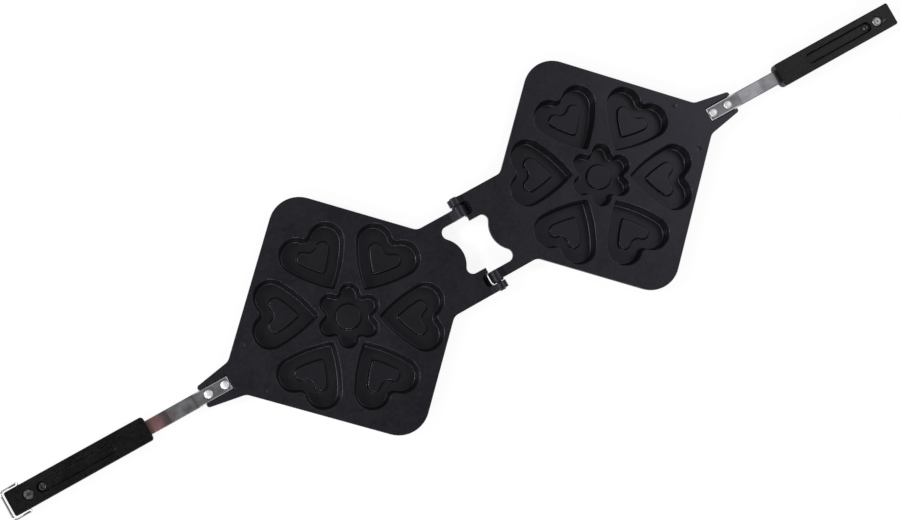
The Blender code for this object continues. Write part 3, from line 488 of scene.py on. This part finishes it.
class Finish:
    """A material being made: one Principled shader, and a method that adds any other node."""

    def __init__(self, name, **settings):
        self.material = bpy.data.materials.new(name)
        self.material.use_nodes = True
        self.tree = self.material.node_tree
        self.shader = self.tree.nodes["Principled BSDF"]
        self.feed(self.shader, {key.replace("_", " "): value for key, value in settings.items()})

    def feed(self, node, values):
        """Sets or links the node's sockets, named or numbered."""
        for key, value in values.items():
            if isinstance(value, Strand):
                self.tree.links.new(value.socket, node.inputs[key])
            else:
                node.inputs[key].default_value = value

    def node(self, kind, values=None, out=0, stops=None, **settings):
        """A node of that kind: its settings and a ramp's stops first, then its sockets."""
        node = self.tree.nodes.new("ShaderNode" + kind)
        for key, value in settings.items():
            setattr(node, key, value)
        if stops:
            ramp = node.color_ramp.elements
            while len(ramp) < len(stops):
                ramp.new(0.5)
            for element, (place, colour) in zip(ramp, stops):
                element.position = place
                element.color = (*colour, 1)
        self.feed(node, values or {})
        return Strand(self.tree, node.outputs[out])

    def place(self):
        """Object coordinates, in metres."""
        return self.node("TexCoord", out="Object")

    def axes(self, place):
        """The three parts of a vector."""
        node = self.tree.nodes.new("ShaderNodeSeparateXYZ")
        self.feed(node, {0: place})
        return [Strand(self.tree, socket) for socket in node.outputs]

    def scaled(self, place, x, y, z):
        """A vector multiplied part by part."""
        return self.node("VectorMath", {0: place, 1: (x, y, z)}, operation='MULTIPLY')

    def noise(self, place, scale, detail=3.0, roughness=0.55):
        """Soft noise with about `scale` lumps in a metre, from 0 to 1."""
        values = {"Vector": place, "Scale": scale, "Detail": detail, "Roughness": roughness}
        return self.node("TexNoise", values)

    def blend(self, share, first, second):
        """Mixes two colours, each a strand or a triple."""
        first, second = [value if isinstance(value, Strand) else (*value, 1) for value in (first, second)]
        return self.node("Mix", {0: share, 6: first, 7: second}, out=2, data_type='RGBA')

    def bump(self, height, depth, strength):
        """A Bump node from a height of 0 to 1 that stands for that depth in metres."""
        bumps = self.node("Bump", {"Height": height, "Distance": depth, "Strength": strength})
        self.feed(self.shader, {"Normal": bumps})


def nonstick_finish():
    """Sprayed black coating: cloudy in tone and gloss over some centimetres, with a fine orange peel
    and a scatter of lighter specks, and painted shade that darkens it the lower it lies, towards the
    hollows' floors."""
    black = Finish("nonstick_coating", Specular_Tint=(0.84, 0.82, 1.0, 1.0))
    place = black.place()
    cloud = black.noise(place, 38.0, 4.0, 0.6)
    tint = black.noise(place, 75.0, 3.0, 0.6)
    peel = black.noise(place, 900.0, 2.0, 0.5)
    mottle = black.noise(place, 330.0, 2.0, 0.6)
    speck = black.node("TexVoronoi", {"Vector": place, "Scale": 700.0}, out="Distance")
    dots = (0.16 - speck).between(0.0, 0.1) * black.noise(place, 260.0, 1.0).between(0.55, 0.7)
    # Painted shade: from 14 mm down to 4 mm above the table the coating grows darker and warmer
    depth = black.axes(place)[2].between(4.0 * MM, 14.0 * MM)
    shade = (0.5 * cloud + 0.5 * mottle).between(0.38, 0.62)
    tone = black.blend(shade, (0.0032, 0.0030, 0.0043), (0.0096, 0.0092, 0.0120))
    tone = black.blend(tint.between(0.5, 0.75) * 0.6, tone, (0.0078, 0.0078, 0.0070))
    tone = black.blend((1 - depth) * 0.7, tone, (0.0036, 0.0036, 0.0030))
    tone = black.blend(dots * 0.6, tone, (0.022, 0.022, 0.024))
    rough = 0.22 + 0.16 * cloud + 0.06 * mottle + 0.05 * peel
    black.feed(black.shader, {"Base Color": tone, "Roughness": rough})
    black.bump(peel, 0.04 * MM, 0.8)
    return black.material


coating = nonstick_finish()
casting = casting_mesh()
for side in SIDES:
    in_place(f"cast_plate_{side}", casting, side, [f"waffle_plate_{side}"], coating)


# Hinge pins. A dark steel pin of 4 mm through each ear into the other half's slim arm. Its outer
# end is spread into a low head, which is all that shows of it.

def pin_mesh():
    """Turned pin: shank, then a low domed head outside the ear."""
    profile = millimetres((1.6, 25.8), (2.0, 26.2), (2.0, 41.1), (2.9, 41.1))
    profile += quarter((3.0 * MM, 41.2 * MM), (1.6 * MM, 41.7 * MM), 5, hollow=True)
    return closed_shell("pin", lathed(profile, 40, (0.0, HINGE[2]), upright=False))


def pin_finish():
    """Oiled black steel with a few turned rings, as noise along the pin alone."""
    steel = Finish("blackened_steel", Base_Color=(0.045, 0.045, 0.05, 1), Metallic=0.85)
    along = steel.axes(steel.place())[1]
    rings = steel.node("TexNoise", {"W": along, "Scale": 3000.0, "Detail": 2.0}, noise_dimensions='1D')
    steel.feed(steel.shader, {"Roughness": 0.3 + 0.2 * rings})
    return steel.material


pin_steel = pin_finish()
pin = pin_mesh()
for side in SIDES:
    in_place(f"pin_{side}", pin, side, [f"hinge_pin_{side}"], pin_steel)


# Handle straps. Plain steel strip, 11.6 by 1.8 mm, laid in the casting's channel. Behind the horns
# it is set down through two easy bends, and runs on inside the grip as its tang.

def strap_mesh():
    """A rounded rectangle carried along the strip's middle line, whose slope follows two arcs. The
    first rings are drawn in by a quarter round, which breaks the edge of the strip's end."""
    middle = millimetres((221.54, 11.4, 0), (253.0, 11.4, 6), (274.5, 8.6, 6), (397.0, 8.6, 0))
    path = cast_line(middle, 0.0, math.radians(1))
    along = np.gradient(path, axis=0)
    along /= np.linalg.norm(along, axis=1, keepdims=True)
    corners = millimetres((-5.8, -0.9, 0.3), (5.8, -0.9, 0.3), (5.8, 0.9, 0.65), (-5.8, 0.9, 0.65))
    start = quarter((0.6 * MM, 0.0), (0.0, 0.6 * MM), 5)
    path = np.vstack([[(path[0, 0] + reach, path[0, 1]) for inset, reach in start], path[1:]])
    along = np.vstack([np.repeat(along[:1], len(start), axis=0), along[1:]])
    insets = [inset for inset, reach in start] + [0.0] * (len(path) - len(start))
    rings = []
    for (x, z), (run, rise), inset in zip(path, along, insets):
        section = cast_line(corners, inset, math.radians(18))
        rings.append(np.column_stack([x - rise * section[:, 1], section[:, 0], z + run * section[:, 1]]))
    return closed_shell("strap", np.stack(rings))


def strap_finish():
    """Bare rolled steel: fine lines along the strip and cloudy patches, with painted highlights along
    its edges and inner end in the socket. Painted light and shade set each strap's brightness in and
    beyond its socket. Beyond it the left strap carries a painted reddish reflection in patches and as
    a band beside its grip, with a darker band along that band's inner edge."""
    steel = Finish("strap_steel", Metallic=1.0)
    place = steel.place()
    x, y, _ = steel.axes(place)
    lines = steel.noise(steel.scaled(place, 60.0, 2600.0, 900.0), 1.0, 3.0, 0.6)
    patch = steel.noise(place, 120.0, 3.0)
    reach = (x - HINGE[0]).size()
    left = x < 0.0
    beyond = reach.between(246 * MM, 252 * MM)
    tone = steel.blend(patch.between(0.35, 0.65), (0.145, 0.141, 0.152), (0.235, 0.23, 0.245))
    # Painted light and shade: the right strap is painted brighter past its socket, and the left strap
    # brighter in its socket and darker beyond it
    level = 0.95 + 0.25 * beyond + left * (0.5 - beyond)
    tone = steel.node("VectorMath", {0: tone, 3: level}, operation='SCALE')
    # Painted highlight: near white along the strap's long edges and its inner end, in the socket only
    painted_edge_highlight = y.size().between(4.6 * MM, 5.2 * MM)
    painted_edge_highlight = painted_edge_highlight.maths('MAXIMUM', painted_edge_highlight, 1 - reach.between(222.3 * MM, 223.0 * MM)) * (1 - beyond)
    tone = steel.blend(painted_edge_highlight, tone, (0.88, 0.87, 0.91))
    # Painted reflection: reddish patches on the left strap beyond its socket
    painted_red_patches = left * beyond * steel.noise(place, 150.0, 2.0).between(0.5, 0.7)
    tone = steel.blend(painted_red_patches * 0.4, tone, (0.17, 0.12, 0.12))
    # A darker band along the inner edge of the left strap's reddish band
    border = reach + 6 * MM * patch
    dark_band = border.between(275 * MM, 280 * MM) * (1 - border.between(282 * MM, 288 * MM))
    tone = steel.blend(left * dark_band * 0.6, tone, (0.05, 0.042, 0.046))
    # Painted reflection: a pinkish brown band on the left strap beside its grip
    painted_red_band = left * border.between(278 * MM, 287 * MM) * (1 - reach.between(298 * MM, 302 * MM))
    tone = steel.blend(painted_red_band * 0.8, tone, (0.36, 0.19, 0.183))
    steel.feed(steel.shader, {"Base Color": tone, "Roughness": 0.24 + 0.12 * lines + 0.2 * patch})
    steel.bump(lines, 0.02 * MM, 0.6)
    return steel.material


strip_steel = strap_finish()
strap = strap_mesh()
for side in SIDES:
    in_place(f"strap_{side}", strap, side, [f"handle_strap_{side}"], strip_steel)


# Strap rivets. Two aluminium rivets hold each strap down. Each is set cold, with a low round head on
# the strap and another under the socket.

def rivet_mesh(reach):
    """Turned rivet with a low domed head at both ends of its shank."""
    low, high, head = 5.2 * MM, 12.6 * MM, 1.4 * MM
    profile = [(0.4 * MM, low - head)]
    profile += quarter((0.5 * MM, low - head), (3.6 * MM, low - 0.4 * MM), 7)[1:]
    profile += [(3.6 * MM, low), (2.0 * MM, low), (2.0 * MM, high), (3.6 * MM, high)]
    profile += quarter((3.6 * MM, high + 0.4 * MM), (0.5 * MM, high + head), 7, hollow=True)
    return closed_shell("rivet", lathed(profile, 48, (reach, 0.0)))


def rivet_finish():
    """Bright aluminium with small dents from the setting tool."""
    metal = Finish("rivet_aluminium", Base_Color=(0.91, 0.91, 0.93, 1), Metallic=1.0)
    place = metal.place()
    dents = metal.noise(place, 900.0, 2.0)
    metal.feed(metal.shader, {"Roughness": 0.42 + 0.2 * metal.noise(place, 500.0)})
    metal.bump(dents, 0.06 * MM, 0.6)
    return metal.material


rivet_metal = rivet_finish()
for position, reach in RIVET_REACHES.items():
    rivet = rivet_mesh(reach)
    for side in SIDES:
        node = f"strap_rivet_{position}_{side}"
        in_place(f"rivet_{position}_{side}", rivet, side, [node], rivet_metal)


# Grips. Moulded black bakelite. The inner face is flat with a long round-ended recess in it, and the
# outer side is well rounded and falls away towards the free end, so that the bail can pass it.

GRIP_ROOT = 292.04 * MM
GRIP_END = 407.33 * MM
GRIP_TOP = 14.0 * MM
EYELET_REACH = 380.34 * MM
SCREW_REACH = 391.54 * MM
BAIL_REACH = 395.54 * MM
BAIL_HEIGHT = 11.7 * MM


def drawn(distance, radius):
    """How far a quarter-round end draws in at a distance from that end."""
    left = max(radius - distance, 0.0)
    return radius - math.sqrt(max(radius ** 2 - left ** 2, 0.0))


def grip_rings():
    """Cross-sections along x. Thickness falls evenly from 12.5 to 10.3, the plan's corners are
    rounded by 2.5 at the root and 1.5 at the end, and the end's outer edge by 6. A small edge
    radius rolls each end into its flat."""
    edge = 0.5 * MM
    steps = 1 - np.cos(np.linspace(0, math.pi / 2, 12))
    first = steps[:6] * edge / steps[5]
    near = GRIP_ROOT + np.concatenate([first, edge + steps[1:] * 2.5 * MM])
    far = GRIP_END - np.concatenate([first, edge + steps[1:] * 6.0 * MM])
    middle = np.linspace(GRIP_ROOT + 5 * MM, GRIP_END - 8 * MM, 12)
    rings = []
    for x in np.unique(np.concatenate([near, far, middle])):
        from_root, to_end = x - GRIP_ROOT, GRIP_END - x
        half = 10 * MM - drawn(from_root, 2.5 * MM) - drawn(to_end, 1.5 * MM)
        share = from_root / (GRIP_END - GRIP_ROOT)
        low = GRIP_TOP - 12.5 * MM + share * 2.2 * MM + drawn(to_end, 6.0 * MM)
        inset = max(drawn(from_root, edge), drawn(to_end, edge))
        outer = min(4.5 * MM, (GRIP_TOP - low) / 2)
        corners = [(-half, low, outer), (half, low, outer),
                   (half, GRIP_TOP, 0.8 * MM), (-half, GRIP_TOP, 0.8 * MM)]
        section = cast_line(corners, inset, math.radians(9))
        rings.append(np.column_stack([np.full(len(section), x), section]))
    return np.stack(rings)


def drilled(reach, radius, top=12 * MM, around=24):
    """An upright bore into the grip's outer side."""
    return closed_shell("bore", lathed([(radius, -1 * MM), (radius, top)], around, (reach, 0.0)))


def grip_mesh(with_bail):
    """The moulding with its recess, the tang's slot and the holes for its fastenings."""
    # The recess's round ends stay a hair under half its width, so that no two points coincide
    wide = 8.4 * MM
    groove = oblong(319.54 * MM, 384.54 * MM, wide, wide / 2 * 0.999)
    floor = GRIP_TOP - 3.2 * MM
    trough = quarter((1.2 * MM, floor), (0.15 * MM, floor + 1.2 * MM), 5)
    trough += quarter((0.0, GRIP_TOP - 0.5 * MM), (-0.5 * MM, GRIP_TOP), 5, hollow=True)
    trough.append((-0.5 * MM, GRIP_TOP + 3 * MM))
    cut = [closed_shell("groove", stacked(lambda inset: cast_line(groove, inset), trough))]
    slot = oblong(288 * MM, 397.3 * MM, 12.2 * MM)
    levels = millimetres((0.0, 7.4), (0.0, 9.8))
    cut.append(closed_shell("slot", stacked(lambda inset: cast_line(slot, inset), levels)))
    # The screw head's recess, as (radius, distance from the inner face)
    recess = millimetres((4.0, -2.4), (4.4, -2.0), (4.4, -0.4), (4.52, -0.12), (4.8, 0.0), (4.8, 3.0))
    recess = [(radius, GRIP_TOP + rise) for radius, rise in recess]
    cut.append(closed_shell("recess", lathed(recess, 48, (SCREW_REACH, 0.0))))
    cut.append(drilled(SCREW_REACH, 2.1 * MM))
    cut.append(drilled(EYELET_REACH, 2.3 * MM))
    cut.append(drilled(SCREW_REACH, 4.39 * MM, 6.4 * MM, around=6))
    if with_bail:
        pivot = (BAIL_REACH, BAIL_HEIGHT)
        for near, far in millimetres((-13.0, -6.0), (6.0, 13.0)):
            hole = lathed([(1.3 * MM, near), (1.3 * MM, far)], 24, pivot, upright=False)
            cut.append(closed_shell("hole", hole))
    return machined("grip", closed_shell("grip", grip_rings()), (), cut)


def bakelite_finish():
    """Black bakelite, dulled by use: faint flow clouds, a mottled grain painted darker on the left grip
    as shade, fine pores, scuffs along the grip, and one lighter streak beside the right grip's screw,
    an ellipse turned 9 degrees."""
    black = Finish("bakelite", Specular_IOR_Level=0.17)
    place = black.place()
    cloud = black.noise(place, 60.0, 4.0)
    pores = black.noise(place, 2200.0, 2.0)
    grain = black.noise(place, 420.0, 3.0, 0.65)
    scuff = black.noise(black.scaled(place, 90.0, 900.0, 900.0), 1.0, 4.0, 0.7)
    x, y, z = black.axes(place)
    # Painted shade: on the left grip the mottle's lightening is halved, so that grip is darker
    mottle = (0.3 * cloud + 0.7 * grain).between(0.4, 0.62) * (1 - 0.5 * (x < 0.0))
    tone = black.blend(mottle, (0.0004, 0.0004, 0.0005), (0.0125, 0.0125, 0.0128))
    tone = black.blend(scuff.between(0.6, 0.8) * 0.6, tone, (0.016, 0.016, 0.016))
    # A lighter streak beside the right grip's screw, an ellipse turned 9 degrees, on the inner face only
    along, aside = x - 399.6 * MM, y + 2.1 * MM
    turn = math.radians(9)
    along, aside = (math.cos(turn) * along + math.sin(turn) * aside,
                    math.cos(turn) * aside - math.sin(turn) * along)
    along, aside = along / (2.6 * MM), aside / (0.7 * MM)
    light_streak = (1 - (along * along + aside * aside)).between(0.0, 0.6) * (z > 13.5 * MM)
    tone = black.blend(light_streak, tone, (0.09, 0.09, 0.095))
    rough = 0.2 + 0.12 * cloud + 0.1 * grain + 0.15 * scuff
    black.feed(black.shader, {"Base Color": tone, "Roughness": rough})
    black.bump(pores, 0.03 * MM, 0.6)
    return black.material


bakelite = bakelite_finish()
for side in SIDES:
    grip = grip_mesh(side == "left")
    in_place(f"moulded_grip_{side}", grip, side, [f"grip_{side}"], bakelite)


# Grip screws, nuts and eyelets. A round-headed screw goes through the grip and the tang into a nut
# in the grip's outer side, and a tubular rivet closes the recess's outer end. All are zinc-plated
# steel.

def screw_mesh():
    """Turned screw with a low round head, and two tapered slots crossed in it for the driver."""
    seat, tip = 11.9 * MM, 3.7 * MM
    profile = [(1.4 * MM, tip), (1.8 * MM, tip + 0.4 * MM), (1.8 * MM, seat), (4.0 * MM, seat)]
    profile.append((4.1 * MM, seat + 0.1 * MM))
    profile += quarter((4.1 * MM, seat + 1.2 * MM), (1.6 * MM, seat + 2.45 * MM), 8, hollow=True)
    profile.append((0.3 * MM, seat + 2.5 * MM))
    blank = closed_shell("screw", lathed(profile, 56, (SCREW_REACH, 0.0)))
    bar = oblong(-1.3 * MM, 1.3 * MM, 0.9 * MM, 0.25 * MM)
    taper = [(0.35 * MM, seat + 1.7 * MM), (0.0, seat + 2.5 * MM), (0.0, seat + 3.5 * MM)]
    slots = []
    for turn in (math.radians(25), math.radians(115)):
        slot = stacked(lambda inset: cast_line(bar, inset), taper, turn, SCREW_REACH)
        slots.append(closed_shell("slot", slot))
    return machined("screw", blank, (), slots)


def ring_mesh(name, loop, around, middle, flats=0.0):
    """A closed loop of (radius, z) points swept round an upright axis. With flats, the outer wall
    follows a hexagon of that half width, which grows to its corners as one over the cosine of
    the angle from the flat's middle."""
    angle = np.linspace(0, 2 * math.pi, around, endpoint=False)
    radius, z = np.array(loop).T
    radius = np.broadcast_to(radius[:, None], (len(loop), around))
    if flats:
        corner = np.cos(angle % (math.pi / 3) - math.pi / 6)
        radius = np.where(radius > flats, np.minimum(flats / corner, radius), radius)
    points = np.stack([middle + radius * np.cos(angle), radius * np.sin(angle),
                       np.broadcast_to(z[:, None], radius.shape)], axis=-1)
    grid = np.arange(radius.size).reshape(radius.shape)
    ahead, above = np.roll(grid, -1, axis=1), np.roll(grid, -1, axis=0)
    quads = np.stack([grid, ahead, np.roll(ahead, -1, axis=0), above], axis=-1).reshape(-1, 4)
    mesh = bpy.data.meshes.new(name)
    mesh.from_pydata(points.reshape(-1, 3).tolist(), [], quads.tolist())
    return mesh


def nut_mesh():
    """Hexagon nut, 7 across its flats, with its corners turned off at both faces."""
    low, high, bore, edge = 3.7 * MM, 6.1 * MM, 2.1 * MM, 0.3 * MM
    flat, corner, slope = 3.5 * MM, 4.05 * MM, 0.45 * MM
    loop = [(flat, low), (corner, low + slope), (corner, high - slope), (flat, high),
            (bore + edge, high), (bore, high - edge), (bore, low + edge), (bore + edge, low)]
    return ring_mesh("nut", loop, 96, SCREW_REACH, flats=flat)


def eyelet_mesh():
    """Tube with a rolled rim in the recess and another against the grip's outer side."""
    top, low, rim = 11.1 * MM, 2.89 * MM, 2.25 * MM
    wide, high = 0.5 * MM, 0.3 * MM
    loop = [(2.0 * MM, low), (2.0 * MM, top)]
    for a in np.linspace(-math.pi / 2, math.pi, 8):
        loop.append((rim + wide * math.cos(a), top + 0.32 * MM + high * math.sin(a)))
    loop += [(1.2 * MM, top - 0.2 * MM), (1.2 * MM, low + 0.2 * MM)]
    for a in np.linspace(-math.pi, math.pi / 2, 8):
        loop.append((rim + wide * math.cos(a), low - 0.32 * MM + high * math.sin(a)))
    return ring_mesh("eyelet", loop, 48, EYELET_REACH)


def plated_finish():
    """Zinc plate, bright on the right grip's screw. On the left one's and down in both recesses,
    where the eyelets and nuts are, it is rougher and blotched, and painted darker as shade."""
    zinc = Finish("plated_steel", Metallic=1.0)
    place = zinc.place()
    milk = zinc.noise(place, 700.0, 3.0)
    x, _, z = zinc.axes(place)
    # Painted shade: the left grip's screw and all parts below the grip's face, in the recesses, take a
    # darker blotched tone, and are also rougher
    dull_and_shaded = (x < 0.0).maths('MAXIMUM', x < 0.0, z < 11.8 * MM)
    bright = zinc.blend(milk, (0.24, 0.24, 0.25), (0.50, 0.50, 0.52))
    shaded_blotched_tone = zinc.blend(milk.between(0.4, 0.65), (0.04, 0.04, 0.043), (0.18, 0.18, 0.19))
    tone = zinc.blend(dull_and_shaded, bright, shaded_blotched_tone)
    zinc.feed(zinc.shader, {"Base Color": tone, "Roughness": 0.28 + 0.3 * milk + 0.2 * dull_and_shaded})
    zinc.bump(zinc.noise(place, 2500.0, 2.0), 0.02 * MM, 0.5)
    return zinc.material


zinc = plated_finish()
for part, mesh in (("screw", screw_mesh()), ("nut", nut_mesh()), ("eyelet", eyelet_mesh())):
    node = "tang_eyelet" if part == "eyelet" else f"grip_{part}"
    for side in SIDES:
        in_place(f"{part}_{side}", mesh, side, [f"{node}_{side}"], zinc)


# The locking bail. Bright drawn wire of 2 mm, bent to a loop. Its ends turn in and hang in two holes
# in the sides of the left grip, and it droops to the table until it is swung over the closed grips.

def bail_mesh():
    """A round section carried along the loop's middle line in its own plane: feet, legs and
    crossbar, joined by round bends; the loop then drops about its pivots to the table."""
    reach, fall = 15.56 * MM, 10.5 * MM
    length, wire = math.hypot(reach, fall), 1.0 * MM
    foot, half = 6.3 * MM, 12 * MM
    line = cast_line([(0, -foot, 0), (0, -half, 1.7 * MM), (length, -half, 3.5 * MM),
                      (length, half, 3.5 * MM), (0, half, 1.7 * MM), (0, foot, 0)])
    along = np.gradient(line, axis=0)
    along /= np.linalg.norm(along, axis=1, keepdims=True)
    chamfer = 0.2 * MM
    line = np.vstack([line[0], line[0] + along[0] * chamfer, line[1:-1],
                      line[-1] - along[-1] * chamfer, line[-1]])
    along = np.vstack([along[:1], along[:1], along[1:-1], along[-1:], along[-1:]])
    radius = np.full((len(line), 1), wire)
    radius[[0, -1]] = wire - chamfer
    aside = np.column_stack([-along[:, 1], along[:, 0]])
    angle = np.linspace(0, 2 * math.pi, 20, endpoint=False)
    flat = line[:, None, :] + aside[:, None, :] * (radius * np.cos(angle))[..., None]
    high = radius * np.sin(angle)
    x = (flat[..., 0] * reach + high * fall) / length
    z = (high * reach - flat[..., 0] * fall) / length
    return closed_shell("bail", np.stack([BAIL_REACH + x, flat[..., 1], BAIL_HEIGHT + z], axis=-1))


def wire_finish():
    """Bright drawn wire with faint lines."""
    wire = Finish("bail_wire", Base_Color=(0.86, 0.86, 0.88, 1), Metallic=1.0)
    lines = wire.noise(wire.place(), 1800.0, 2.0)
    wire.feed(wire.shader, {"Roughness": 0.12 + 0.14 * lines})
    return wire.material


bail = in_place("wire_bail", bail_mesh(), "left", ["locking_bail"], wire_finish())
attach(bail, "bail")


# Table, lamps and camera. A white table, three soft lamps in an arc on the left, which draw the
# bright lines on the cavities' walls, a larger one high on the right, and the photograph's long
# lens almost straight above.

def table_finish():
    """White board. It glows almost white to the camera and in reflections, and its own shading
    adds the object's shadow."""
    white = Finish("white_table", Base_Color=(0.9, 0.9, 0.9, 1), Roughness=0.9)
    glow = white.node("Emission", {"Color": (1, 1, 1, 1), "Strength": 1.1})
    direct = white.node("LightPath", out="Is Camera Ray")
    seen = direct.maths('MAXIMUM', direct, white.node("LightPath", out="Is Glossy Ray"))
    board = Strand(white.tree, white.shader.outputs[0])
    mixed = white.node("MixShader", {0: seen * 0.8, 1: board, 2: glow})
    white.tree.links.new(mixed.socket, white.tree.nodes["Material Output"].inputs["Surface"])
    return white.material


def table_mesh():
    """One flat square, 8 metres wide, just under the castings' feet."""
    corners = np.array([[-1, -1, 0], [1, -1, 0], [1, 1, 0], [-1, 1, 0]]) * 4.0
    mesh = bpy.data.meshes.new("white_table")
    mesh.from_pydata((corners - [0, 0, 0.2 * MM]).tolist(), [], [(0, 1, 2, 3)])
    mesh.materials.append(table_finish())
    return mesh


table = bpy.data.objects.new("white_table", table_mesh())
bpy.context.collection.objects.link(table)


def lamp(name, place, aim, size, power):
    """A square area lamp at place, facing aim."""
    light = bpy.data.lights.new(name, 'AREA')
    light.shape = 'SQUARE'
    light.size = size
    light.energy = power
    holder = bpy.data.objects.new(name, light)
    bpy.context.collection.objects.link(holder)
    towards = np.array(aim) - np.array(place)
    back = -towards / np.linalg.norm(towards)
    right = np.cross((0, 0, 1), back)
    right /= np.linalg.norm(right)
    up = np.cross(back, right)
    rows = [[right[i], up[i], back[i], place[i]] for i in range(3)]
    holder.matrix_world = Matrix(rows + [[0, 0, 0, 1]])


lamp("key_lamp", (-1.20, 0.68, 1.25), (0, 0, 0), 0.4, 13)
lamp("left_lamp", (-1.36, -0.35, 1.25), (0, 0, 0), 0.4, 5)
lamp("near_lamp", (-0.62, -1.18, 1.25), (0, 0, 0), 0.4, 8)
lamp("right_lamp", (1.5, 0.0, 1.7), (0.2, 0, 0), 1.0, 8)

# The room is white to the camera and lights the object with a quarter of that
world = bpy.data.worlds.new("studio")
bpy.context.scene.world = world
world.use_nodes = True
sky = world.node_tree.nodes["Background"]
paths = world.node_tree.nodes.new("ShaderNodeLightPath")
shine = world.node_tree.nodes.new("ShaderNodeMath")
shine.operation = 'MULTIPLY_ADD'
world.node_tree.links.new(paths.outputs["Is Camera Ray"], shine.inputs[0])
shine.inputs[1].default_value = 0.76
shine.inputs[2].default_value = 0.24
world.node_tree.links.new(shine.outputs[0], sky.inputs["Strength"])
sky.inputs["Color"].default_value = (1, 1, 1, 1)

# Solved from the two square plates, which lie in one plane: the lens stands 1.2 m over the left
# half and looks along `view`
stand = (-245.7 * MM, -38.1 * MM, 1215.8 * MM)
view = np.array([0.18193, 0.03082, -0.98283])
upwards = np.array([0.47886, 0.87021, 0.11593])
back = -view / np.linalg.norm(view)
right = np.cross(upwards, back)
right /= np.linalg.norm(right)
upwards = np.cross(back, right)
camera = bpy.data.objects.new("camera", bpy.data.cameras.new("camera"))
bpy.context.collection.objects.link(camera)
camera.data.sensor_width = 36
camera.data.lens = 61.97
camera.data.clip_end = 50
rows = [[right[i], upwards[i], back[i], stand[i]] for i in range(3)]
camera.matrix_world = Matrix(rows + [[0, 0, 0, 1]])
bpy.context.scene.camera = camera
bpy.context.scene.view_settings.view_transform = 'Standard'
